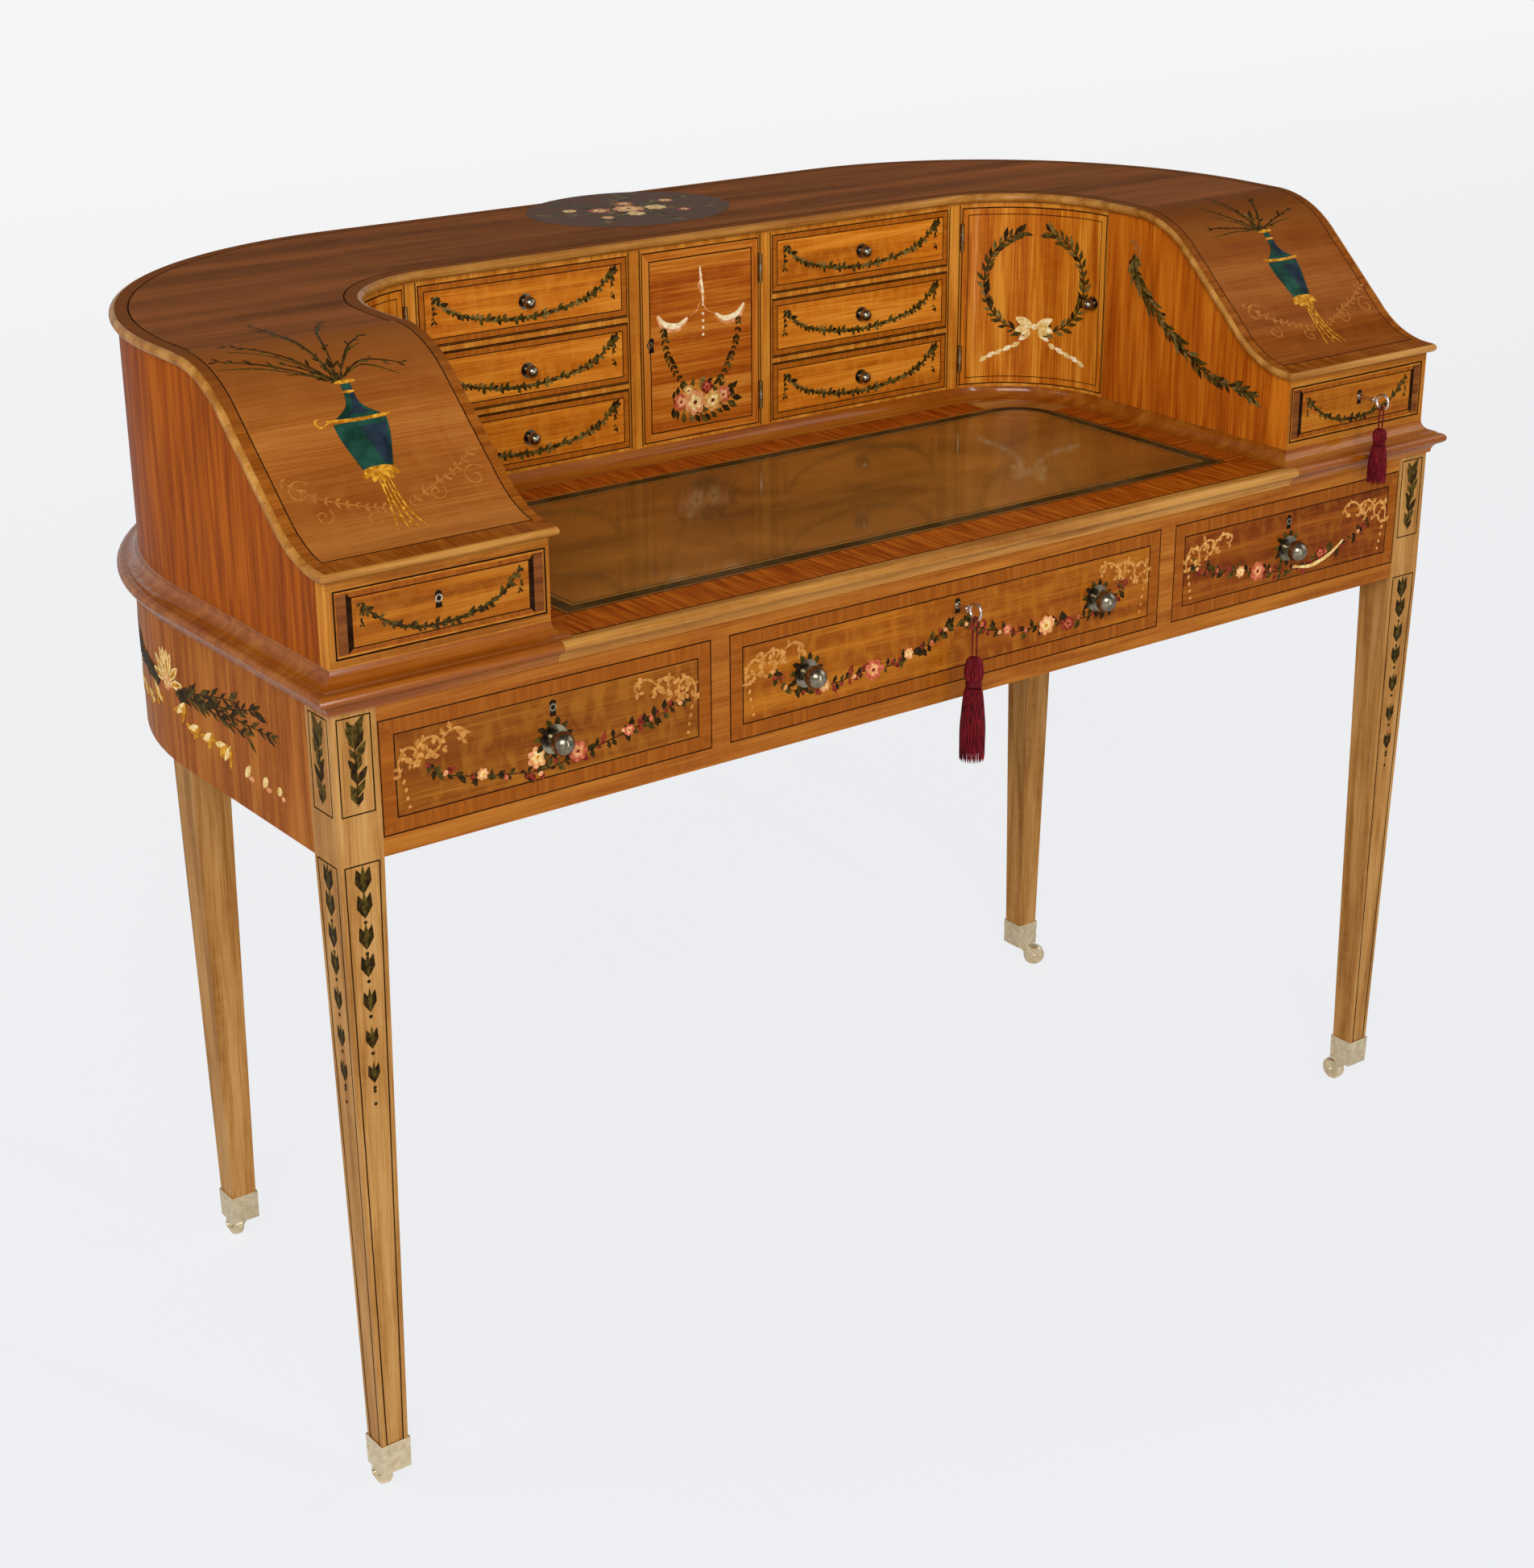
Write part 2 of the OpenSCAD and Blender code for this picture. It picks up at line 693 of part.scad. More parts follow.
module gallery_shell() {
    color("#cb7d2c") placed() intersection() {
        translate([0, 0, wall_z0]) linear_extrude(desk_h - wall_z0) intersection() {
            difference() {
                plan(carcase_set);
                plan(carcase_set + wall_t);
            }
            behind(frame_y);
        }
        under_board(-desk_w / 2, desk_w / 2);
    }
}

module gallery_partitions() {
    back = desk_d - carcase_set - wall_t;
    face_back = well_y + face_t;
    drawer_side = small_x0 - 2;
    far_side = small_x1 + 2;
    wing_in = well_x + wall_t;
    wing_out = body_x - wall_t;
    color("#b98a50") placed() {
        translate([0, 0, floor_z1 - floor_t]) linear_extrude(floor_t) intersection() {
            difference() {
                plan(carcase_set + face_t + snug);
                well(face_t + snug);
            }
            behind(frame_y + snug);
        }
        both_sides() {
            intersection() {
                union() {
                    block([drawer_side - part_t, face_back, floor_z1], [drawer_side, back, wall_z1 - play]);
                    block([far_side, face_back, floor_z1], [far_side + part_t, back, wall_z1 - play]);
                    for (i = [1, 2]) translate([0, 0, sill_z + i * (small_h + small_rail) - dust_t])
                        block([drawer_side, face_back, 0], [far_side, back, dust_t]);
                }
                linear_extrude(desk_h) plan(carcase_set + wall_t + snug);
            }
            intersection() {
                union() {
                    block([well_x, frame_y, wall_z0], [wing_in, jamb_y, desk_h]);
                    block([wing_in, jamb_y - part_t, floor_z1], [wing_out, jamb_y, desk_h]);
                }
                under_board(0, desk_w / 2);
            }
            translate([0, 0, wing_z0 + wing_open_h + 1])
                block([wing_in, frame_y, 0], [wing_out, jamb_y - part_t, dust_t]);
            for (x = [wing_in, wing_out - 7]) block([x, frame_y, floor_z1], [x + 7, jamb_y - part_t, wing_z0]);
        }
    }
}

// Openings in the gallery's face
module small_opening(i, grow) {
    z = sill_z + i * (small_h + small_rail);
    block([small_x0 - grow, well_y - 1, z - grow], [small_x1 + grow, well_y + face_t + 1, z + small_h + grow]);
}

module corner_wedge(a) {
    translate([well_cx, well_cy])
        polygon([[0, 0], desk_d * [sin(a), cos(a)], desk_d * [1, 1], [desk_d, -jamb_w]]);
}

module hinge_places() {
    for (z = [door_z0 + hinge_in, door_z1 - hinge_in]) translate([0, 0, z]) children();
}

module at_centre_joint() {
    translate([centre_joint_x, well_y, 0]) hinge_places() children();
}

// Right-hand corner door's joint, turned so that the door lies on the -X side as on the centre door
module at_corner_joint() {
    translate([well_cx, well_cy, 0]) rotate(-joint_a) translate([0, well_r, 0]) mirror([1, 0, 0])
        hinge_places() children();
}

module leaf_recess(s) {
    w = leaf_t + play;
    translate([s > 0 ? gap / 2 : -gap / 2 - w, -1, -leaf_h / 2]) cube([w, leaf_d + play + 1, leaf_h]);
}

module gallery_face() {
    color("#d9a35c") placed() {
        difference() {
            translate([0, 0, wall_z0]) linear_extrude(wall_z1 - play - wall_z0) intersection() {
                difference() {
                    well(face_t);
                    well(0);
                }
                behind(jamb_y);
            }
            block([-door_half, well_y - 1, sill_z], [door_half, well_y + face_t + 1, head_z]);
            both_sides() {
                for (i = [0:2]) small_opening(i, 0);
                translate([0, 0, sill_z]) linear_extrude(head_z - sill_z) intersection() {
                    corner_wedge(post_a);
                    translate(corner_pin) circle(corner_swing);
                }
                at_corner_joint() leaf_recess(1);
            }
            at_centre_joint() leaf_recess(1);
        }
        both_sides() difference() {
            intersection() {
                block([well_x, carcase_set, wall_z0], [body_x, frame_y, desk_h]);
                under_board(0, desk_w / 2);
            }
            block([wing_x0, carcase_set - 1, wing_z0], [wing_x1, frame_y + 1, wing_z0 + wing_open_h]);
        }
    }
}

// Gallery top: a board bent in an S curve on each wing, with a half-round nosing all round
module nose_profile(r) {
    intersection() {
        circle(r);
        translate([0, -r]) square([r, 2 * r]);
    }
}

// Nosing along the S curve, standing out to +X from x = 0
module ogee_nosing() {
    half = board_t / 2;
    run_in = 0.4;
    hollow_mid = hollow_r + half;
    front = nose_set + half;
    translate([0, ogee_back, desk_h - round_r]) rotate([-run_in, 0, 0]) rotate([180, 0, 0]) rotate([0, 90, 0])
        rotate_extrude(angle = slope_a + 2 * run_in)
            translate([round_r - half, 0]) rotate(90) nose_profile(half - play);
    translate([0, ogee_front, wing_z + hollow_r]) rotate([-run_in, 0, 0]) rotate([0, 90, 0])
        rotate_extrude(angle = slope_a + 2 * run_in)
            translate([hollow_mid, 0]) rotate(90) nose_profile(half - play);
    translate([0, ogee_front, wing_z + hollow_r]) rotate([slope_a, 0, 0]) translate([0, slope_l, -hollow_mid])
        rotate([90, 0, 0]) linear_extrude(slope_l) nose_profile(half);
    translate([0, ogee_front, wing_z - half]) rotate([90, 0, 0])
        linear_extrude(ogee_front - front) nose_profile(half);
}

module gallery_top() {
    half = board_t / 2;
    edge_in = half - nose_out;
    front = nose_set + half;
    side = desk_w / 2 - front;
    well_edge = well_x + edge_in;
    color("#9c5424") placed() {
        intersection() {
            translate([0, 0, wing_z - far]) linear_extrude(desk_h - wing_z + 2 * far) difference() {
                plan(front);
                well(edge_in);
            }
            translate([-desk_w / 2, 0, 0]) rotate([90, 0, 90]) linear_extrude(desk_w) difference() {
                below_top(0);
                below_top(board_t);
            }
        }
        translate([0, 0, desk_h - half]) {
            round_plan(front, ogee_back) nose_profile(half);
            round_well(edge_in, ogee_back) nose_profile(half);
        }
        both_sides() {
            translate([side, 0, 0]) ogee_nosing();
            translate([well_edge, 0, 0]) mirror([1, 0, 0]) ogee_nosing();
            translate([0, 0, wing_z - half]) {
                mitred_end(side, front, half, false) nose_profile(half);
                mitred_end(well_edge, front, half, true) nose_profile(half);
                mitred_front(well_edge, side, front, half, half) nose_profile(half);
            }
        }
    }
}

// Hinges: the door is on the -X side of the joint, the fixed leaf on the +X side
module hinge_barrel(z0, z1) {
    translate([0, -pin_set, z0]) cylinder(h = z1 - z0, r = barrel_r);
}

module fixed_leaf() {
    third = leaf_h / 6;
    translate([gap / 2, play, -leaf_h / 2]) cube([leaf_t, leaf_d - play, leaf_h]);
    for (s = [0, 1]) mirror([0, 0, s]) {
        hinge_barrel(third, leaf_h / 2);
        translate([gap / 2, -pin_set, third]) cube([leaf_t, pin_set + 1, leaf_h / 2 - third]);
    }
    translate([0, -pin_set, 0]) cylinder(h = leaf_h, r = hinge_pin_r, center = true);
}

module moving_leaf() {
    third = leaf_h / 6 - 0.2;
    difference() {
        union() {
            translate([-gap / 2 - leaf_t, play, -leaf_h / 2]) cube([leaf_t, leaf_d - play, leaf_h]);
            hinge_barrel(-third, third);
            translate([-gap / 2 - leaf_t, -pin_set, -third]) cube([leaf_t, pin_set + 1, 2 * third]);
        }
        translate([0, -pin_set, 0]) cylinder(h = leaf_h, r = hinge_pin_r + play, center = true);
    }
}

module door_hinge_leaves() {
    color("#8a6a2f") placed() {
        at_centre_joint() fixed_leaf();
        both_sides() at_corner_joint() fixed_leaf();
    }
}

// Turned knobs and locks; a knob stands on the face y = 0 and points to -Y
module knob(r) {
    rotate([90, 0, 0]) rotate_extrude() difference() {
        union() {
            square([r, r * 0.12]);
            square([r * 0.42, r * 1.3]);
            translate([0, r * 1.05]) intersection() {
                circle(r * 0.8);
                translate([0, -r * 0.5]) square([r, r * 1.3]);
            }
        }
        translate([-r, -r]) square([r, 4 * r]);
    }
}

// A lock: its case stands behind a front that is front_d thick, with a bush through the front
module lock(front_d) {
    difference() {
        union() {
            block([-lock_w / 2, front_d, -lock_h / 2], [lock_w / 2, front_d + lock_t, lock_h / 2]);
            rotate([-90, 0, 0]) translate([0, 0, -0.6]) cylinder(h = front_d + 0.7, r = shank_r + 1.5);
        }
        rotate([-90, 0, 0]) translate([0, 0, -1]) cylinder(h = front_d + lock_t + 2, r = shank_r + play);
        rotate([-90, 0, 0]) translate([0, 0, front_d + 1]) cylinder(h = lock_t - 2, r = bit_r + 1);
    }
}

module lock_hole(front_d) {
    rotate([-90, 0, 0]) translate([0, 0, -1]) cylinder(h = front_d + 2, r = shank_r + 1.5 + snug);
}

// A drawer with its front's outer face at y = 0, its low left corner at the origin
module drawer_box(w, h, d, front, side, in, up, low) {
    block([0, 0, 0], [w, front, h]);
    difference() {
        block([in, front - 0.01, low], [w - in, d, h - up]);
        block([in + side, front, low + side * 0.6], [w - in - side, d - side, h + 1]);
    }
}

// Frieze drawers: i = -1 left, 0 middle, 1 right
function frieze_x0(i) = i == 0 ? -bay_half : i > 0 ? bay_half + muntin_w : -inner_x;
function frieze_w(i) = i == 0 ? 2 * bay_half : inner_x - bay_half - muntin_w;
function frieze_lock_x(i) = i * side_knob_x;

module frieze_drawer(i) {
    color("#cf8433") placed() difference() {
        translate([frieze_x0(i) + gap, frieze_set, drawer_z0 + gap])
            drawer_box(frieze_w(i) - 2 * gap, drawer_z1 - drawer_z0 - 2 * gap, frieze_drawer_d,
                front_t, side_t, 0, 12, 0);
        translate([frieze_lock_x(i), frieze_set, frieze_key_z]) lock_hole(front_t);
    }
}

module frieze_brass(i) {
    knobs = i == 0 ? [-mid_knob_x, mid_knob_x] : [i * side_knob_x];
    color("#5c5a45") placed() {
        translate([frieze_lock_x(i), frieze_set, frieze_key_z]) lock(front_t);
        for (x = knobs) translate([x, frieze_set, frieze_knob_z]) knob(knob_r);
    }
}

// Small gallery drawers, s = side, i = row from the bottom
module gallery_drawer(s, i) {
    z = sill_z + i * (small_h + small_rail);
    color("#d08634") placed() on_side(s) translate([small_x0 + gap, well_y, z + gap])
        drawer_box(small_w - 2 * gap, small_h - 2 * gap, small_drawer_d, face_t, thin_t, 0, 8, 0);
}

module gallery_knob(s, i) {
    z = sill_z + i * (small_h + small_rail) + small_h / 2;
    color("#5c5a45") placed() on_side(s) translate([small_x0 + small_w / 2, well_y, z]) knob(small_knob_r);
}

// Wing drawers
module wing_drawer(s) {
    in = max(well_x + wall_t - wing_x0, wing_x1 - body_x + wall_t);
    color("#d08634") placed() on_side(s) difference() {
        translate([wing_x0 + gap, carcase_set, wing_z0 + gap])
            drawer_box(wing_x1 - wing_x0 - 2 * gap, wing_open_h - 2 * gap, wing_drawer_d,
                wing_front_t, thin_t, in, 6, 0);
        translate([wing_key_x, carcase_set, wing_key_z]) lock_hole(wing_front_t);
    }
}

module wing_lock(s) {
    color("#5c5a45") placed() on_side(s) translate([wing_key_x, carcase_set, wing_key_z]) lock(wing_front_t);
}

// Doors
module door_centre() {
    color("#c97a2c") placed() difference() {
        translate([0, 0, door_z0]) linear_extrude(door_z1 - door_z0) intersection() {
            translate([-door_half + gap, well_y]) square([2 * (door_half - gap), face_t]);
            translate([centre_joint_x, well_y - pin_set]) circle(centre_joint_x + door_half - gap / 2);
        }
        at_centre_joint() leaf_recess(-1);
        translate([door_lock_in - door_half, well_y, (door_z0 + door_z1) / 2 + 4]) lock_hole(face_t);
    }
}

module door_corner(s) {
    color("#c97a2c") placed() on_side(s) difference() {
        translate([0, 0, door_z0]) linear_extrude(door_z1 - door_z0) intersection() {
            difference() {
                well(face_t);
                well(0);
            }
            corner_wedge(post_a + 2 * half_gap_a);
            translate(corner_pin) circle(corner_swing - gap);
        }
        at_corner_joint() leaf_recess(-1);
    }
}

module door_centre_brass() {
    color("#6b5d3c") placed() {
        at_centre_joint() moving_leaf();
        translate([door_lock_in - door_half, well_y, (door_z0 + door_z1) / 2 + 4]) difference() {
            union() {
                block([2.5 - door_lock_in, face_t, -lock_h / 2], [12, face_t + lock_t, lock_h / 2]);
                rotate([-90, 0, 0]) translate([0, 0, -0.6]) cylinder(h = face_t + 0.7, r = shank_r + 1.5);
            }
            rotate([-90, 0, 0]) translate([0, 0, -1]) cylinder(h = face_t + lock_t, r = shank_r + play);
        }
    }
}

module door_corner_brass(s) {
    color("#5c5a45") placed() on_side(s) {
        at_corner_joint() moving_leaf();
        translate([well_cx, well_cy, (door_z0 + door_z1) / 2]) rotate(-corner_knob_a)
            translate([0, sqrt(well_r * well_r - small_knob_r * small_knob_r) - play, 0]) knob(small_knob_r);
    }
}

// Keys: the shank lies along Y, the bow's ring stands upright
module key_at(x, y, z, depth) {
    color("#c8c4b8") placed() translate([x, 0, z]) {
        translate([0, bow_y, 0]) rotate([0, 90, 0]) rotate_extrude() translate([bow_r, 0]) circle(wire_r);
        translate([0, bow_y + bow_r, 0]) rotate([-90, 0, 0])
            cylinder(h = y + depth + lock_t - bow_y - bow_r, r = shank_r);
        translate([0, bow_y + bow_r + 3, 0]) rotate([-90, 0, 0]) cylinder(h = 2.5, r = shank_r + 1);
        block([-1, y + depth + 1.5, -bit_r], [1, y + depth + lock_t - 1.5, 0]);
    }
}

module key_centre() {
    key_at(0, frieze_set, frieze_key_z, front_t);
}

module key_wing() {
    key_at(wing_key_x, carcase_set, wing_key_z, wing_front_t);
}

// Where each cord hangs: the lowest point of the bow's wire
mid_hang = [0, bow_y, frieze_key_z - bow_r];
wing_hang = [wing_key_x, bow_y, wing_key_z - bow_r];

function route_turn(p, i) =
    let (a = p[max(i - 1, 0)], b = p[min(i + 1, len(p) - 1)], d = b - a) [d.y, -d.x] / norm(d);

module cord_tube(p) {
    sides = 8;
    n = len(p);
    rings = [for (i = [0:n - 1], k = [0:sides - 1])
        let (t = route_turn(p, i), c = cord_r * cos(360 * k / sides))
            [p[i].x + t.x * c, cord_r * sin(360 * k / sides), p[i].y + t.y * c]];
    skin = [for (i = [0:n - 2], k = [0:sides - 1]) [i * sides + k, i * sides + (k + 1) % sides,
        (i + 1) * sides + (k + 1) % sides, (i + 1) * sides + k]];
    ends = [[for (k = [sides - 1:-1:0]) k], [for (k = [0:sides - 1]) (n - 1) * sides + k]];
    polyhedron(points = rings, faces = concat(skin, ends));
}

module tassel_cord(hang, route) {
    color("#6d1424") placed() translate(hang) cord_tube(route);
}

// A tassel: a bound head over a flaring skirt
module tassel(hang, drop, l, r) {
    head = l * 0.28;
    color("#6d1424") placed() translate([hang.x, hang.y, hang.z - drop]) rotate_extrude() difference() {
        union() {
            polygon([[0, 0], [r * 0.45, 0], [r * 0.7, -3], [r * 0.74, -head + 4], [r * 0.6, -head],
                [r * 0.78, -head - 5], [r * 0.9, -l * 0.6], [r, -l], [0, -l]]);
        }
        translate([-r, -2 * l]) square([r, 3 * l]);
    }
}

leg_front(-1);  // leg_front_left
leg_front(1);  // leg_front_right
leg_back(-1);  // leg_back_left
leg_back(1);  // leg_back_right
castor_cups();
frieze_apron();
frieze_frame();
drawer_runners();
table_top();
table_moulding();
gallery_foot_moulding();
gallery_shell();
gallery_partitions();
gallery_face();
gallery_top();
door_hinge_leaves();
writing_slide();
leather_inset();
frieze_drawer(-1);  // drawer_left
frieze_drawer(0);  // drawer_centre
frieze_drawer(1);  // drawer_right
frieze_brass(-1);  // drawer_left_brass
frieze_brass(0);  // drawer_centre_brass
frieze_brass(1);  // drawer_right_brass
gallery_drawer(-1, 0);  // gallery_drawer_left_bottom
gallery_drawer(-1, 1);  // gallery_drawer_left_middle
gallery_drawer(-1, 2);  // gallery_drawer_left_top
gallery_drawer(1, 0);  // gallery_drawer_right_bottom
gallery_drawer(1, 1);  // gallery_drawer_right_middle
gallery_drawer(1, 2);  // gallery_drawer_right_top
gallery_knob(-1, 0);  // gallery_knob_left_bottom
gallery_knob(-1, 1);  // gallery_knob_left_middle
gallery_knob(-1, 2);  // gallery_knob_left_top
gallery_knob(1, 0);  // gallery_knob_right_bottom
gallery_knob(1, 1);  // gallery_knob_right_middle
gallery_knob(1, 2);  // gallery_knob_right_top
wing_drawer(-1);  // wing_drawer_left
wing_drawer(1);  // wing_drawer_right
wing_lock(-1);  // wing_lock_left
wing_lock(1);  // wing_lock_right
door_centre();
door_corner(-1);  // door_left
door_corner(1);  // door_right
door_centre_brass();
door_corner_brass(-1);  // door_left_brass
door_corner_brass(1);  // door_right_brass
castor_horn(0);  // castor_horn_front_left
castor_horn(1);  // castor_horn_front_right
castor_horn(2);  // castor_horn_back_left
castor_horn(3);  // castor_horn_back_right
castor_wheel(0);  // castor_wheel_front_left
castor_wheel(1);  // castor_wheel_front_right
castor_wheel(2);  // castor_wheel_back_left
castor_wheel(3);  // castor_wheel_back_right
key_centre();
key_wing();
tassel_cord(mid_hang, mid_route);  // tassel_cord_centre
tassel_cord(wing_hang, wing_route);  // tassel_cord_wing
tassel(mid_hang, -mid_route[0].y, tassel_l, skirt_r);  // tassel_centre
tassel(wing_hang, -wing_route[0].y, wing_tassel_l, wing_skirt_r);  // tassel_wing
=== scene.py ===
"""Looks of a D-shaped writing desk with a curved gallery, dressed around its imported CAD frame.

Sizes here are millimetres, measured like the CAD source: x from the middle, y from the
front of the table moulding and z from the floor. One function turns them to metres.
"""

import logging
import math
import random
from dataclasses import dataclass, field
from enum import Enum
from functools import cache
from typing import Callable, Optional, Protocol, Sequence, Union

import bmesh
import bpy
from mathutils import Matrix, Vector


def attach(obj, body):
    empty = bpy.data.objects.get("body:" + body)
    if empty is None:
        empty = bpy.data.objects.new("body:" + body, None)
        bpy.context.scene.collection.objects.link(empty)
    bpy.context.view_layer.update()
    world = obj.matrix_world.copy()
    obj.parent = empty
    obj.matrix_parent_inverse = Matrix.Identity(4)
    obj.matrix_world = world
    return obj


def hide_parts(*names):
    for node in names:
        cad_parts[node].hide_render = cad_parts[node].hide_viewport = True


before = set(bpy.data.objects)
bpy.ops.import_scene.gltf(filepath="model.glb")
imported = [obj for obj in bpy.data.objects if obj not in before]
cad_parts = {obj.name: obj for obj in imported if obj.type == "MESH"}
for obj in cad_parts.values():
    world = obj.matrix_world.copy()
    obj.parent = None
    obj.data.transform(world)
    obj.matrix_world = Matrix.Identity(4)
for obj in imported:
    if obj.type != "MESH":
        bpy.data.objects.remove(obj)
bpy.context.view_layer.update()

LOG = logging.getLogger("desk")
MM = 0.001
SIDES = {-1: "left", 1: "right"}
Spot = tuple[float, float]
Box = tuple[float, float, float, float]
Line = Callable[[float], Spot]  # gives a place on a surface from 0 to 1
Material = bpy.types.Material
Socket = bpy.types.NodeSocket

# Places on the CAD model, mm
MIDDLE_Y = 314.0  # the origin's distance behind the front of the table moulding
FRIEZE_Y = 14.0  # fronts of the frieze drawers
WING_Y = 20.0  # fronts of the wing drawers
DOOR_Y = 415.0  # front of the middle door
TOP_Z = 993.0  # flat top of the gallery
BOARD_Z, LEATHER_Z = 769.7, 769.8  # tops of the writing board and of its leather
SIDE_X, SIDE_Y, SIDE_R = 300.0, 288.0, 360.0  # plan arc of the D: middle and radius
WELL_X, WELL_Y, WELL_R = 311.0, 290.0, 125.0  # plan arc of the well's corner
WELL_TURN = 507.35  # where that arc ends, measured along the face from its middle
FLAT = 9999.0  # longer than any piece: a surface without a curve needs no cuts


def at(x: float, y: float, z: float) -> Vector:
    """A point in metres, from millimetres measured like the CAD source."""
    return Vector((x * MM, (y - MIDDLE_Y) * MM, z * MM))


def linear(code: str) -> tuple[float, float, float, float]:
    """A linear RGBA colour from an sRGB hex value such as '#c08040'."""
    parts = [int(code[i : i + 2], 16) / 255 for i in (1, 3, 5)]
    return (*[c / 12.92 if c <= 0.04045 else ((c + 0.055) / 1.055) ** 2.4 for c in parts], 1.0)


class Grain(Enum):
    """The direction that wood fibres run in, along one axis of the desk."""

    X = 0
    Y = 1
    Z = 2

    def scale(self, along: float, across: float) -> Sequence[float]:
        """Noise cells per metre on each axis, few along the fibres and many across."""
        return tuple(along if i == self.value else across for i in range(3))


def add_node(tree: bpy.types.NodeTree, kind: str, links: Optional[dict] = None,
             stops: Sequence[tuple[float, str]] = (), **settings: object) -> bpy.types.Node:
    """Adds a shader node with its settings and links.

    Args:
        tree: the node tree.
        kind: Blender's type name of the node.
        links: input name or number to an output socket, or to a plain value.
        stops: place and sRGB hex colour of each stop, on a node with a ramp.
        settings: attributes of the node itself.

    Returns:
        The new node.
    """
    node = tree.nodes.new(kind)
    for name, value in settings.items():
        setattr(node, name, value)
    if stops:
        while len(node.color_ramp.elements) < len(stops):
            node.color_ramp.elements.new(0.5)
        for element, (place, code) in zip(node.color_ramp.elements, stops):
            element.position = place
            element.color = linear(code)
    for key, value in (links or {}).items():
        if isinstance(value, Socket):
            tree.links.new(value, node.inputs[key])
        else:
            node.inputs[key].default_value = value
    return node


@dataclass
class Recipe:
    """One material in the making: its node tree, its shader and its place on the object."""

    material: Material
    tree: bpy.types.NodeTree
    shader: bpy.types.Node
    place: Socket

    @classmethod
    def start(cls, name: str) -> "Recipe":
        """A fresh material that reads Object coordinates."""
        material = bpy.data.materials.new(name)
        material.use_nodes = True
        tree = material.node_tree
        shader = next(n for n in tree.nodes if n.type == "BSDF_PRINCIPLED")
        return cls(material, tree, shader, add_node(tree, "ShaderNodeTexCoord").outputs["Object"])

    def streaks(self, cells: Sequence[float], detail: float, shift: float,
                wander: float = 0.0) -> Socket:
        """A cloudy pattern from 0 to 1, drawn out along the axes with few cells.

        Args:
            cells: how many cells a metre has on each axis.
            detail: finer octaves.
            shift: moves the pattern, so that no two layers agree.
            wander: how much the streaks bend.

        Returns:
            The value's socket.
        """
        spot = add_node(self.tree, "ShaderNodeMapping",
                        {0: self.place, "Scale": tuple(cells),
                         "Location": (shift, shift * 0.7, shift * 1.3)})
        return add_node(self.tree, "ShaderNodeTexNoise",
                        {0: spot.outputs[0], "Scale": 1.0, "Detail": detail,
                         "Distortion": wander}).outputs[0]

    def glaze(self, under: object, over: str, pattern: Socket, low: float, high: float,
              most: float) -> Socket:
        """Lays a thin colour over another where a pattern is strong.

        Args:
            under: the colour's socket, or a colour.
            over: sRGB hex value of the glaze.
            pattern: the 0 to 1 pattern.
            low: pattern value at which the glaze starts.
            high: pattern value at which it is full.
            most: its weight there.

        Returns:
            The colour's socket.
        """
        amount = add_node(self.tree, "ShaderNodeMapRange",
                          {0: pattern, 1: low, 2: high, 3: 0.0, 4: most})
        return add_node(self.tree, "ShaderNodeMix",
                        {0: amount.outputs[0], 6: under, 7: linear(over)},
                        data_type="RGBA").outputs[2]

    def surface(self, colour: Socket, relief: Socket, strength: float, depth: float,
                rough: tuple[float, float], **plain: object) -> Material:
        """Joins the colour, the relief and the gloss to the shader.

        Args:
            colour: base colour.
            relief: the 0 to 1 pattern of height, which also varies the gloss.
            strength: weight of the bump.
            depth: its height in metres.
            rough: roughness in the hollows and on the ridges.
            plain: values of the shader's own inputs, with _ for a space.

        Returns:
            The material.
        """
        bump = add_node(self.tree, "ShaderNodeBump",
                        {"Strength": strength, "Distance": depth, "Height": relief})
        gloss = add_node(self.tree, "ShaderNodeMapRange",
                         {0: relief, 1: 0.3, 2: 0.7, 3: rough[0], 4: rough[1]})
        self.tree.links.new(colour, self.shader.inputs["Base Color"])
        self.tree.links.new(bump.outputs[0], self.shader.inputs["Normal"])
        self.tree.links.new(gloss.outputs[0], self.shader.inputs["Roughness"])
        for name, value in plain.items():
            self.shader.inputs[name.replace("_", " ")].default_value = value
        return self.material


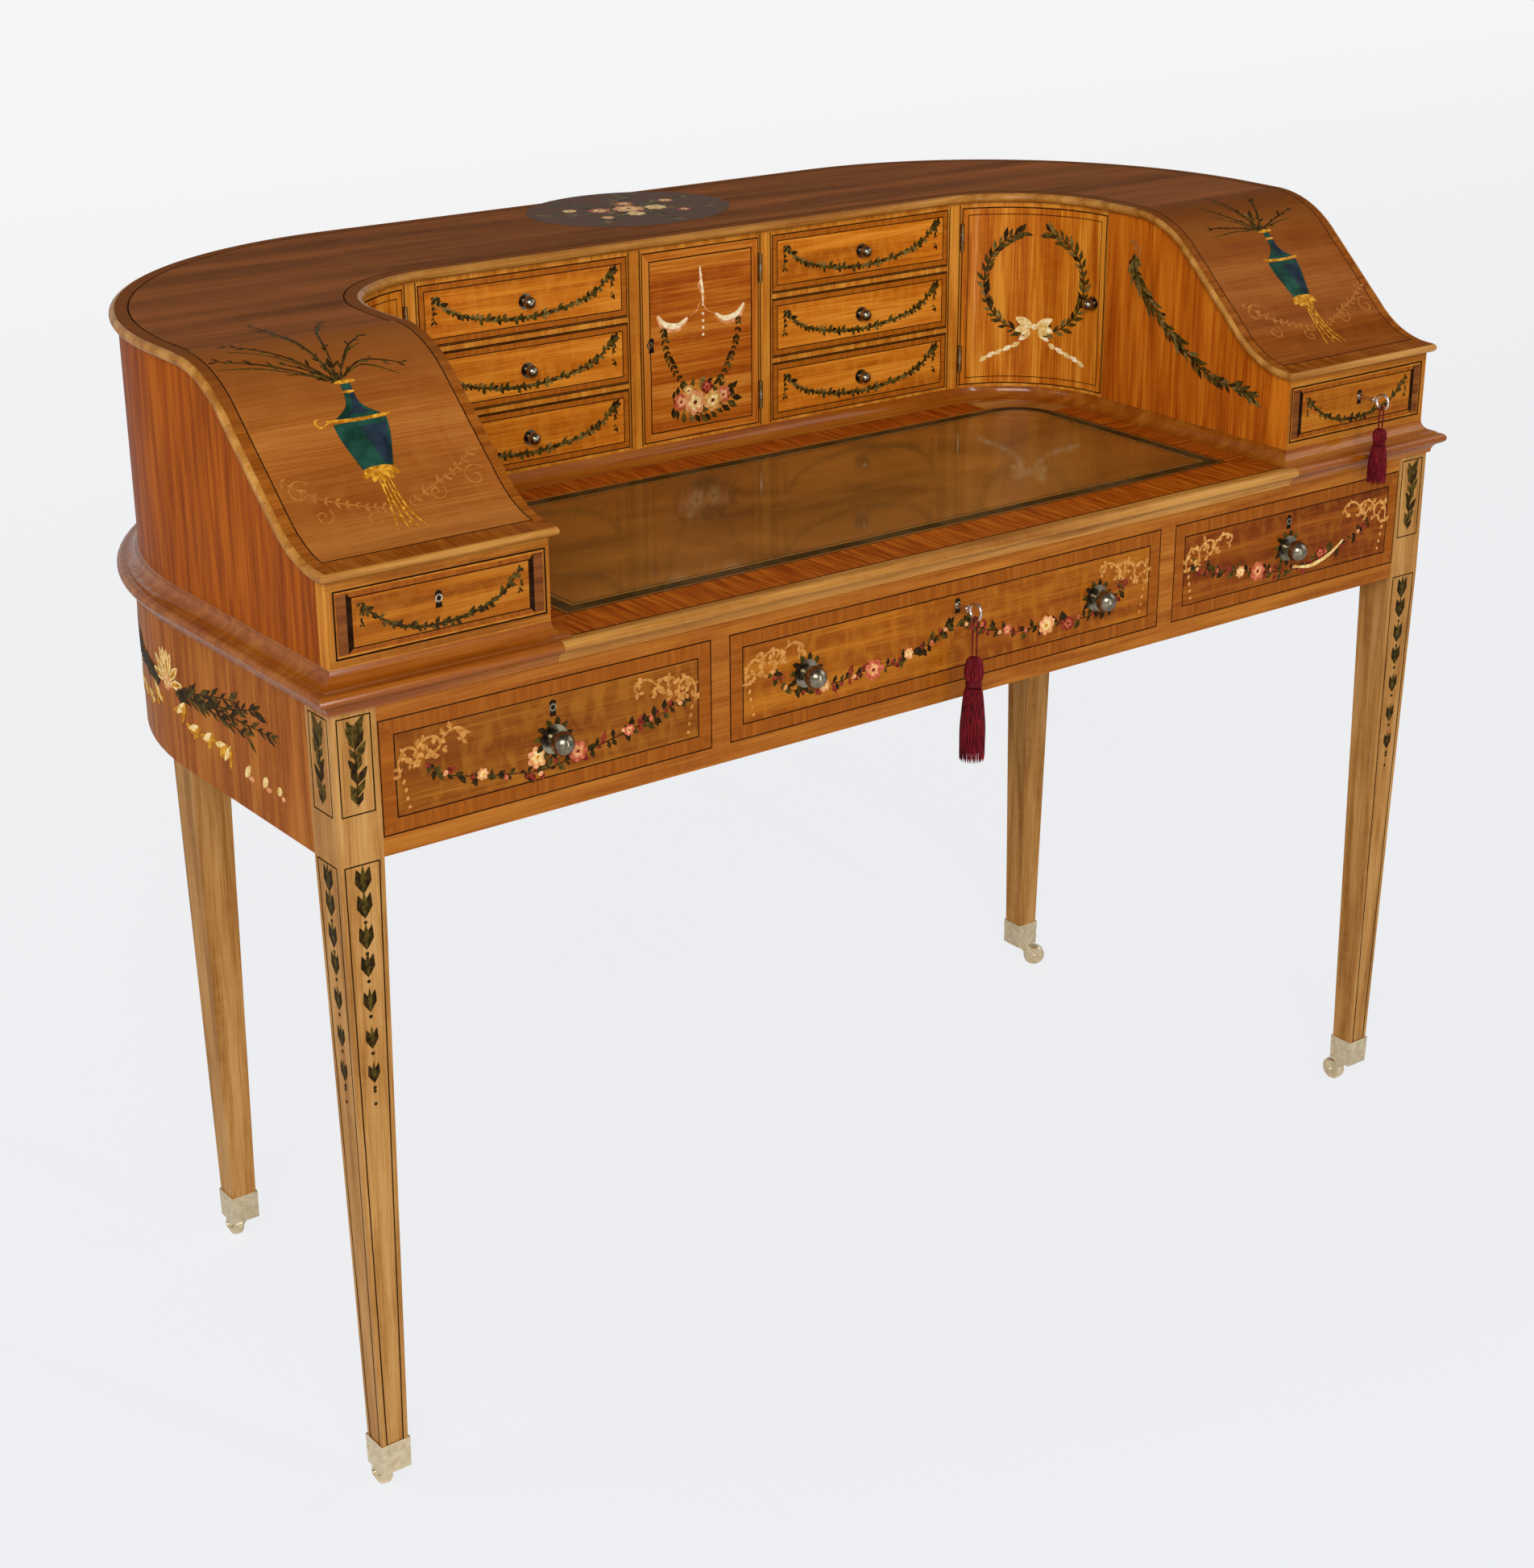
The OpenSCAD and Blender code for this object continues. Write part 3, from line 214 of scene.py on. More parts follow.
@dataclass(frozen=True)
class Wood:
    """French-polished veneer: long fibres, broad ribbons of figure and fine dark pores.

    The polish is a thin clear shellac film, so colours are deep and highlights small.
    """

    name: str
    dark: str
    base: str
    light: str
    ribbon: float = 22.0  # width of a ribbon of figure, mm
    mottle: float = 0.25  # how much the cross mottle shows
    fibre: float = 1.1  # width of a streak, mm; real fibres of 0.2 mm are too fine to show
    wear: float = 0.12  # how much the slow change of tone over the piece shows
    contrast: float = 0.11  # half width of the ramp; small is bold
    rough: float = 0.34
    polish: float = 0.05  # weight of the shellac film
    gloss: float = 0.04  # specular level of the wood under it
    shade: Optional[tuple[str, float, float]] = None  # painted shade: a darker tone towards the top, which catches less light; heights where it starts and is full, mm
    seed: float = 0.0

    @cache
    def build(self, grain: Grain) -> Material:
        """Makes the material with its fibres along one axis."""
        mix = Recipe.start(f"{self.name}_{grain.name.lower()}")
        wide = 1 / (self.ribbon * MM)
        ribbons = mix.streaks(grain.scale(wide * 0.07, wide), detail=3, shift=self.seed + 3.1,
                              wander=0.35)
        fibres = mix.streaks(grain.scale(14, 1 / (self.fibre * MM)), detail=3,
                             shift=self.seed + 9.7)
        part = add_node(mix.tree, "ShaderNodeMath", {0: fibres, 1: 0.4}, operation="MULTIPLY")
        level = add_node(mix.tree, "ShaderNodeMath", {0: ribbons, 1: 0.6, 2: part.outputs[0]},
                         operation="MULTIPLY_ADD")
        tones = [(0.5 - self.contrast, self.dark), (0.5, self.base),
                 (0.5 + self.contrast, self.light)]
        colour = add_node(mix.tree, "ShaderNodeValToRGB", {0: level.outputs[0]}, tones).outputs[0]
        blotch = mix.streaks(grain.scale(wide * 1.7, wide * 0.8), detail=2, shift=self.seed + 5.5,
                             wander=0.6)
        colour = mix.glaze(colour, self.light, blotch, low=0.45, high=0.7, most=self.mottle)
        tone = mix.streaks((4.5, 4.5, 4.5), detail=2, shift=self.seed + 1.9)
        colour = mix.glaze(colour, self.dark, tone, low=0.38, high=0.68, most=self.wear)
        # Pores 0.6 mm wide
        pores = mix.streaks(grain.scale(60, 1600), detail=1, shift=self.seed + 7.3)
        colour = mix.glaze(colour, self.dark, pores, low=0.62, high=0.8, most=0.3)
        # Painted shade: the colour darkens with height up to the flat top, standing in for the
        # light that falls less there
        if self.shade:
            over, low, high = self.shade
            height = add_node(mix.tree, "ShaderNodeSeparateXYZ", {0: mix.place}).outputs[2]
            colour = mix.glaze(colour, over, height, low=low * MM, high=high * MM, most=0.85)
        return mix.surface(colour, fibres, strength=0.1, depth=0.0004,
                           rough=(self.rough - 0.05, self.rough + 0.06),
                           Specular_IOR_Level=self.gloss, Coat_Weight=self.polish,
                           Coat_Roughness=0.1)

    @property
    def x(self) -> Material:
        """The material with its fibres from side to side."""
        return self.build(Grain.X)

    @property
    def y(self) -> Material:
        """The material with its fibres from front to back."""
        return self.build(Grain.Y)

    @property
    def z(self) -> Material:
        """The material with upright fibres."""
        return self.build(Grain.Z)


@dataclass(frozen=True)
class Metal:
    """Cast, spun or drawn metal with a thin uneven patina, which dulls it in patches."""

    name: str
    bright: str
    dull: str
    rough: float
    patina: float  # how much of it is dull

    @cache
    def build(self) -> Material:
        """Makes the material."""
        mix = Recipe.start(self.name)
        cloud = mix.streaks((160, 160, 160), detail=3, shift=2.0)  # patches of about 6 mm
        colour = mix.glaze(linear(self.bright), self.dull, cloud, low=0.38, high=0.66,
                           most=self.patina)
        fine = mix.streaks((900, 900, 900), detail=2, shift=4.0)  # casting skin, about 1 mm
        return mix.surface(colour, fine, strength=0.15, depth=0.0002,
                           rough=(self.rough - 0.06, self.rough + 0.1), Metallic=1.0)


@dataclass(frozen=True)
class Hide:
    """Smooth calf skin, stained and waxed: fine pebbles and worn lighter patches."""

    name: str
    dark: str
    base: str
    worn: str

    @cache
    def build(self) -> Material:
        """Makes the material."""
        mix = Recipe.start(self.name)
        patches = mix.streaks((6, 9, 7), detail=4, shift=1.0, wander=0.4)
        colour = add_node(mix.tree, "ShaderNodeValToRGB", {0: patches},
                          [(0.34, self.dark), (0.5, self.base), (0.68, self.worn)]).outputs[0]
        # Pebbles of 1.1 mm, coarser than those of real calf, which would not show
        pebbles = add_node(mix.tree, "ShaderNodeTexVoronoi", {0: mix.place, "Scale": 900.0})
        colour = mix.glaze(colour, self.dark, pebbles.outputs[0], low=0.3, high=0.7, most=0.3)
        return mix.surface(colour, pebbles.outputs[0], strength=0.15, depth=0.0002,
                           rough=(0.28, 0.36), Specular_IOR_Level=0.3, Coat_Weight=0.5,
                           Coat_Roughness=0.06)


@dataclass(frozen=True)
class Silk:
    """Twisted silk thread: a painted sheen along each strand, and painted shade between strands."""

    name: str
    dark: str
    base: str
    light: str

    @cache
    def build(self) -> Material:
        """Makes the material."""
        mix = Recipe.start(self.name)
        threads = mix.streaks((1400, 1400, 60), detail=2,
                              shift=1.0)  # threads 0.7 mm wide, drawn out downwards
        # Painted sheen on the lighter strands and painted shade on the darker ones, over the thread
        # pattern
        colour = add_node(mix.tree, "ShaderNodeValToRGB", {0: threads},
                          [(0.34, self.dark), (0.5, self.base), (0.68, self.light)]).outputs[0]
        return mix.surface(colour, threads, strength=0.4, depth=0.0003, rough=(0.58, 0.68),
                           Specular_IOR_Level=0.1)


@dataclass(frozen=True)
class Paint:
    """Artist's oil colour under varnish: thin, with brushed changes of tone inside a stroke."""

    name: str
    shade: str
    light: str
    size: float = 4.0  # length of one change of tone, mm

    @cache
    def build(self) -> Material:
        """Makes the material."""
        mix = Recipe.start(self.name)
        strokes = mix.streaks((1 / (self.size * MM),) * 3, detail=2, shift=6.0)
        colour = add_node(mix.tree, "ShaderNodeValToRGB", {0: strokes},
                          [(0.4, self.shade), (0.62, self.light)]).outputs[0]
        return mix.surface(colour, strokes, strength=0.1, depth=0.0002, rough=(0.36, 0.46),
                           Specular_IOR_Level=0.02, Coat_Weight=0.03)


# Name, dark, base and light tone, then ribbon, mottle, fibre, wear and contrast
SATIN = Wood("satinwood", "#9a500c", "#bd6a14", "#d68a2c", 16, 0.35, 1.1, 0.12, 0.12)
WING_SATIN = Wood("wing_satinwood", "#7c3e07", "#98530c", "#ad6d1f", 16, 0.35, 1.1, 0.12, 0.12)
SATIN_WALL = Wood("satinwood_wall", "#793301", "#934502", "#a75706", 9, 0.1, 1.4, 0.1, polish=0.03,
                  gloss=0.03)
FLAME = Wood("flame_satinwood", "#97490a", "#b76612", "#d08a2c", 18, 0.15, 1.3, 0.1, 0.09)
DOOR_SATIN = Wood("middle_door_satinwood", "#8b3f0a", "#a95911", "#c0792a", 18, 0.15, 1.3, 0.1,
                  0.09)
PALE = Wood("pale_satinwood", "#875013", "#a16a28", "#b7833d", 16, 0.2, 1.0, polish=0.15, gloss=0.1)
TULIP = Wood("tulipwood_band", "#742c04", "#954508", "#b05e15", 5, 0.1, 1.3, polish=0.04,
             gloss=0.03)
CROSS = Wood("crossband", "#84420a", "#9c5410", "#ae641a", 5, 0.1, 1.3, contrast=0.2)
FRIEZE_CROSS = Wood("frieze_crossband", "#74390a", "#8a480d", "#9c5a18", 5, 0.1, 1.3, contrast=0.2)
# SLOPE, SLOPE_RIGHT and TOP_BAND carry painted shade: they darken towards the flat top
SLOPE = Wood("mahogany_slope", "#7f4214", "#95541e", "#a86a2e", 34, 0.25, 1.3, 0.15, 0.13,
             polish=0.05, gloss=0.0, shade=("#7a441c", 945, 993))
SLOPE_RIGHT = Wood("mahogany_slope_right", "#71370f", "#854617", "#965924", 34, 0.25, 1.3, 0.15,
                   0.13, polish=0.05, gloss=0.0, shade=("#6c3c18", 945, 993))
TOP_BAND = Wood("gallery_top_band", "#73380c", "#864712", "#97561b", 7, 0.1, 1.3, polish=0.04,
                gloss=0.0, shade=("#6c3c18", 940, 993))
LEG = Wood("leg_satinwood", "#885926", "#a57439", "#b88b51", 14, 0.2, 1.0, polish=0.05, gloss=0.06)
OAK = Wood("drawer_oak", "#7c5a30", "#98784a", "#b09464", 24, 0.1, 1.4, rough=0.5, polish=0.0)
MOULD = Wood("moulding_satinwood", "#6d3004", "#8a470a", "#a5671f", 14, 0.08, 1.0, 0.05, 0.22,
             rough=0.16, polish=0.4, gloss=0.1)
APRON = Wood("apron_satinwood", "#7b3b0a", "#955116", "#ab6724", 12, 0.2, 1.2, polish=0.03,
             gloss=0.03)
WELL_WALL = Wood("well_wall_satinwood", "#94440a", "#b25c10", "#c8741c", 9, 0.1, 1.4, 0.1)
FRIEZE_LEFT = Wood("frieze_left_satinwood", "#6d3609", "#7f450d", "#9f631a", 18, 0.55, 1.2, 0.16,
                   0.13)
FRIEZE_MIDDLE = Wood("frieze_middle_satinwood", "#76390a", "#8b480b", "#aa6819", 18, 0.55, 1.2,
                     0.16, 0.13, seed=2.0)
RAIL = Wood("frieze_rail_satinwood", "#80410f", "#985719", "#ac6c26", 12, 0.2, 1.2, 0.12, 0.14)
WING_RAIL = Wood("wing_rail_satinwood", "#80460e", "#985a18", "#ac7028", 12, 0.2, 1.1)
GALLERY_RAIL = Wood("gallery_rail_satinwood", "#a05a14", "#b8701e", "#ce8c34", 12, 0.2, 1.1)
FRIEZE_RIGHT = Wood("frieze_right_satinwood", "#5c2504", "#773609", "#9a5815", 18, 0.5, 1.2, 0.16,
                    0.13, seed=5.0)
DARK_END = Wood("wing_drawer_end", "#5a2e10", "#6e3c16", "#80481e", 6, 0.1, 1.2)
# The field of the flat top: the same veneer as the slopes, with painted shade in its darker colours
TOP_FIELD_PAINTED_SHADE = Wood("mahogany_top_painted_shade", "#5c3213", "#7b451d", "#905226", 34, 0.2, 1.3, 0.15, 0.13,
                 polish=0.05, gloss=0.0)
DIM_GILT = Paint("tooled_gilt", "#6a4a1c", "#a07c38", 2.0)
EBONY = Wood("ebonised_string", "#160c06", "#24140a", "#30200f", 10, 0.0, 1.0, polish=0.0,
             gloss=0.0)
CASTOR_BRASS = Metal("cast_castor_brass", "#f2e2bc", "#c2ae84", 0.25, 0.5)
DARK_BRASS = Metal("patinated_brass", "#988e7a", "#4a4234", 0.22, 0.6)
HINGE_BRASS = Metal("rolled_hinge_brass", "#8a7040", "#4a3a22", 0.32, 0.6)
KEY_STEEL = Metal("worn_key_steel", "#dccfc6", "#a0948c", 0.2, 0.5)
LEATHER = Hide("waxed_calf", "#553410", "#774a18", "#945f22")
SILK = Silk("burgundy_silk", "#26030a", "#560810", "#861820")
LEAF_DARK = Paint("dark_leaf_paint", "#1e1406", "#382a10")
LEAF = Paint("leaf_paint", "#32280a", "#55451a")
LEAF_PALE = Paint("pale_leaf_paint", "#58461c", "#7a6534")
FAINT = Paint("faint_gilt_paint", "#985a24", "#aa6c2e")
PEACH = Paint("peach_paint", "#b47a38", "#d09c58")
IVORY = Paint("ivory_paint", "#dcc492", "#f2e4c0")
SPRIG = Paint("sprig_paint", "#a46a2c", "#c48a48")
CREAM = Paint("cream_paint", "#cca45a", "#e8cf94")
BLUSH = Paint("blush_paint", "#c47c48", "#dca070")
PINK = Paint("rose_paint", "#a4442e", "#c26a4a")
MADDER = Paint("madder_paint", "#5c1c10", "#8a3424")
GILT = Paint("gilt_paint", "#a0620c", "#d69a2e")
# Dark paint for rose hearts, and the painted shade of keyhole openings
INK_AND_HOLE_SHADE = Paint("ink_and_keyhole_shade_paint", "#120c06", "#221808")
TEAL = Paint("urn_green_paint", "#122c22", "#20483a", 20.0)
NIGHT = Paint("urn_blue_paint", "#16202a", "#26343e", 20.0)
SHADOW = Paint("shadow_paint", "#482a14", "#5a371c", 16.0)
RIM_STAIN = Paint("dark_leather_stain", "#36280f", "#4e3b1f", 30.0)


Finish = Union[Material, Paint]


def mesh_object(name: str, bm: bmesh.types.BMesh, finishes: Sequence[Material]) -> bpy.types.Object:
    """Turns a bmesh into a smooth object at the origin, frees the bmesh and adds the finishes."""
    mesh = bpy.data.meshes.new(name)
    bm.to_mesh(mesh)
    bm.free()
    mesh.shade_smooth()
    mesh.set_sharp_from_angle(angle=math.radians(35))
    for finish in finishes:
        mesh.materials.append(finish)
    obj = bpy.data.objects.new(name, mesh)
    bpy.context.scene.collection.objects.link(obj)
    LOG.info("piece %s: %d faces", name, len(mesh.polygons))
    return obj


def off(spot: Spot, turn: float, reach: float) -> Spot:
    """The place this far from a spot, in a direction in radians."""
    return spot[0] + math.cos(turn) * reach, spot[1] + math.sin(turn) * reach


def mirrored(spots: Sequence[Spot]) -> list[Spot]:
    """The same spots on the other side of the middle."""
    return [(-u, v) for u, v in spots]


def flow(spots: Sequence[Spot], s: float) -> tuple[Spot, Spot]:
    """A smooth line through spots.

    Args:
        spots: the spots it passes.
        s: how far along it, from 0 to 1.

    Returns:
        The place there, and the unit direction.
    """
    def spot(s: float) -> Vector:
        """The place on a Catmull-Rom curve."""
        run = min(max(s, 0.0), 1.0) * (len(spots) - 1)
        i = min(int(run), len(spots) - 2)
        t = run - i
        a, b, c, d = (Vector(spots[min(max(i + k, 0), len(spots) - 1)]) for k in (-1, 0, 1, 2))
        return 0.5 * (2 * b + (c - a) * t + (2 * a - 5 * b + 4 * c - d) * t**2
                      + (3 * b - a - 3 * c + d) * t**3)

    here = spot(s)
    ahead = spot(s + 0.01) - spot(s - 0.01)
    ahead = ahead.normalized() if ahead.length > 1e-6 else Vector((1.0, 0.0))
    return (here.x, here.y), (ahead.x, ahead.y)


class Skin(Protocol):
    """A surface of the desk with its own two directions.

    Its pitch is the longest flat step along each of them, mm.
    """

    pitch: Spot

    def place(self, u: float, v: float, h: float) -> Vector:
        """The point h mm off the surface."""


@dataclass(frozen=True)
class Upright:
    """A flat front that faces the sitter: x along it and z up it."""

    y: float
    pitch: Spot = (FLAT, FLAT)

    def place(self, u: float, v: float, h: float) -> Vector:
        """The point h mm off the surface."""
        return at(u, self.y - h, v)


@dataclass(frozen=True)
class Level:
    """A flat top at one height: x and y along it."""

    z: float
    pitch: Spot = (FLAT, FLAT)

    def place(self, u: float, v: float, h: float) -> Vector:
        """The point h mm off the surface."""
        return at(u, v, self.z + h)


@dataclass(frozen=True)
class DeskSide:
    """The outside of the D: the distance from the front line round one side, and z up it."""

    side: int
    inset: float
    pitch: Spot = (8.0, FLAT)

    def place(self, u: float, v: float, h: float) -> Vector:
        """The point h mm off the surface."""
        radius = SIDE_R - self.inset
        turn = min(max((u - SIDE_Y) / radius, 0.0), math.pi / 2)
        past = max(u - SIDE_Y - radius * math.pi / 2, 0.0)
        x = SIDE_X + (radius + h) * math.cos(turn) - past
        return at(self.side * x, min(u, SIDE_Y) + (radius + h) * math.sin(turn), v)


@dataclass(frozen=True)
class WellFace:
    """The gallery's face round the writing well: the distance from its middle, and z up it."""

    pitch: Spot = (5.0, FLAT)

    def place(self, u: float, v: float, h: float) -> Vector:
        """The point h mm off the surface."""
        side, run = math.copysign(1.0, u), abs(u)
        turn = min(max((run - WELL_X) / WELL_R, 0.0), math.pi / 2)
        x = min(run, WELL_X) + (WELL_R - h) * math.sin(turn)
        return at(side * x, WELL_Y + (WELL_R - h) * math.cos(turn) - max(run - WELL_TURN, 0.0), v)


@dataclass(frozen=True)
class WingSlope:
    """The S-curved top of a wing: x across it, and the distance up the curve from the front."""

    pitch: Spot = (FLAT, 5.0)
    tilt: float = math.radians(42.12)  # angle of the straight part
    lip: float = 5.5  # how far each part of the curve goes: the level lip at the front,
    dip: float = 79.0  # the lower arc,
    rise: float = 185.9  # the straight part
    crest: float = 272.6  # and the upper arc, which ends level
    front: float = 13.0  # y of the front edge
    low: tuple[float, float, float] = (18.5, 965.0, 100.0)  # y, z and radius of the lower arc
    joint: Spot = (85.57, 890.83)  # y and z where the straight part starts
    high: tuple[float, float, float] = (244.0, 875.0, 118.0)  # y, z and radius of the upper arc

    def place(self, u: float, v: float, h: float) -> Vector:
        """The point h mm off the surface."""
        low_y, low_z, low_r = self.low
        if v <= self.lip:
            return at(u, self.front + v, low_z - low_r + h)
        if v <= self.dip:
            turn = (v - self.lip) / low_r
            return at(u, low_y + (low_r - h) * math.sin(turn), low_z - (low_r - h) * math.cos(turn))
        if v <= self.rise:
            run, up, ahead = v - self.dip, math.sin(self.tilt), math.cos(self.tilt)
            return at(u, self.joint[0] + run * ahead - h * up, self.joint[1] + run * up + h * ahead)
        high_y, high_z, high_r = self.high
        turn = max(self.tilt - (v - self.rise) / high_r, 0.0)
        return at(u, high_y - (high_r + h) * math.sin(turn) + max(v - self.crest, 0.0),
                  high_z + (high_r + h) * math.cos(turn))


@dataclass(frozen=True)
class LegFace:
    """One face of a front leg: the distance from its middle line, and z up it."""

    side: int
    facing: Spot
    pitch: Spot = (FLAT, 60.0)
    middle: Spot = (625.5, 34.5)  # x and y of the leg's axis

    @staticmethod
    def half(v: float) -> float:
        """Half the leg's width at a height: it tapers from z 619 down to z 34."""
        return 12.5 + 8.0 * min(max((v - 34) / 585, 0.0), 1.0)

    def place(self, u: float, v: float, h: float) -> Vector:
        """The point h mm off the surface."""
        reach = self.half(v) + h
        return at(self.side * self.middle[0] + self.facing[0] * reach + abs(self.facing[1]) * u,
                  self.middle[1] + self.facing[1] * reach + abs(self.facing[0]) * u, v)


@dataclass
class Layer:
    """Thin pieces laid side by side on one surface, such as veneers, strings or leather."""

    skin: Skin
    top: float = 0.12  # how far the layer stands off the surface, mm
    base: float = -0.02  # its underside, just inside the surface
    bm: bmesh.types.BMesh = field(default_factory=bmesh.new)
    finishes: list[Material] = field(default_factory=list)

    def give(self, verts: Sequence[bmesh.types.BMVert], finish: Finish) -> None:
        """Gives the faces at these vertices a finish."""
        finish = finish.build() if isinstance(finish, Paint) else finish
        if finish not in self.finishes:
            self.finishes.append(finish)
        for face in {face for vert in verts for face in vert.link_faces}:
            face.material_index = self.finishes.index(finish)

    def ruled(self, finish: Finish, near: Line, far: Line, steps: int = 1, rows: int = 1,
              rise: float = 0.0) -> None:
        """A flat piece between two lines on the surface.

        Args:
            finish: its material.
            near: gives the first line's place from 0 to 1.
            far: gives the second line's.
            steps: pieces along the lines.
            rows: pieces from line to line.
            rise: extra height, mm.
        """
        verts = bmesh.ops.create_grid(self.bm, x_segments=steps, y_segments=rows, size=0.5)["verts"]
        for vert in verts:
            a, b = near(vert.co.x + 0.5), far(vert.co.x + 0.5)
            t = vert.co.y + 0.5
            vert.co = (a[0] + (b[0] - a[0]) * t, a[1] + (b[1] - a[1]) * t, rise)
        self.give(verts, finish)

    def plate(self, finish: Finish, a: Spot, b: Spot, c: Spot, d: Spot, rise: float = 0.0) -> None:
        """A piece with four corners, cut fine enough for the surface's curve."""
        def edge(p: Spot, q: Spot) -> Line:
            """A straight line from p to q."""
            return lambda s: (p[0] + (q[0] - p[0]) * s, p[1] + (q[1] - p[1]) * s)

        steps = max(math.ceil(max(abs(b[i] - a[i]) / self.skin.pitch[i] for i in (0, 1))), 1)
        rows = max(math.ceil(max(abs(d[i] - a[i]) / self.skin.pitch[i] for i in (0, 1))), 1)
        self.ruled(finish, edge(a, b), edge(d, c), steps=steps, rows=rows, rise=rise)

    def tile(self, finish: Finish, box: Box) -> None:
        """A piece square to the surface's two directions."""
        u0, v0, u1, v1 = box
        self.plate(finish, (u0, v0), (u1, v0), (u1, v1), (u0, v1))

    def band(self, flat: Finish, upright: Finish, box: Box, width: float) -> Box:
        """Four mitred strips just inside a box.

        Args:
            flat: material of the low and the high strip.
            upright: material of the strips at the two sides.
            box: outer edge.
            width: width of a strip.

        Returns:
            The box that is left inside.
        """
        u0, v0, u1, v1 = box
        a0, b0, a1, b1 = u0 + width, v0 + width, u1 - width, v1 - width
        self.plate(flat, (u0, v0), (u1, v0), (a1, b0), (a0, b0))
        self.plate(flat, (u1, v1), (u0, v1), (a0, b1), (a1, b1))
        self.plate(upright, (u0, v1), (u0, v0), (a0, b0), (a0, b1))
        self.plate(upright, (u1, v0), (u1, v1), (a1, b1), (a1, b0))
        return a0, b0, a1, b1

    def panel(self, box: Box, field_wood: Finish, flat: Finish, upright: Finish, width: float,
              edge: float = 1.0, string: float = 1.2) -> None:
        """A veneered panel: a dark edge string, a mitred crossband, a dark string and the field."""
        ebony = EBONY.x
        box = self.band(ebony, ebony, box, width=edge)
        box = self.band(flat, upright, box, width=width)
        box = self.band(ebony, ebony, box, width=string)
        self.tile(field_wood, box)

    def lay(self, name: str, body: str, slot: str) -> None:
        """Thickens the pieces into closed slabs, wraps them on the surface and makes the object.

        Args:
            name: the object's name.
            body: the CAD body it moves with.
            slot: not used.
        """
        low = self.bm.verts[:]
        raised = bmesh.ops.extrude_face_region(self.bm, geom=self.bm.faces[:])["geom"]
        for vert in raised:
            if isinstance(vert, bmesh.types.BMVert):
                vert.co.z += self.top
        for vert in low:
            vert.co.z = self.base
        for vert in self.bm.verts:
            vert.co = self.skin.place(*vert.co)
        bmesh.ops.recalc_face_normals(self.bm, faces=self.bm.faces[:])
        obj = mesh_object(name, self.bm, self.finishes)
        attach(obj, body)


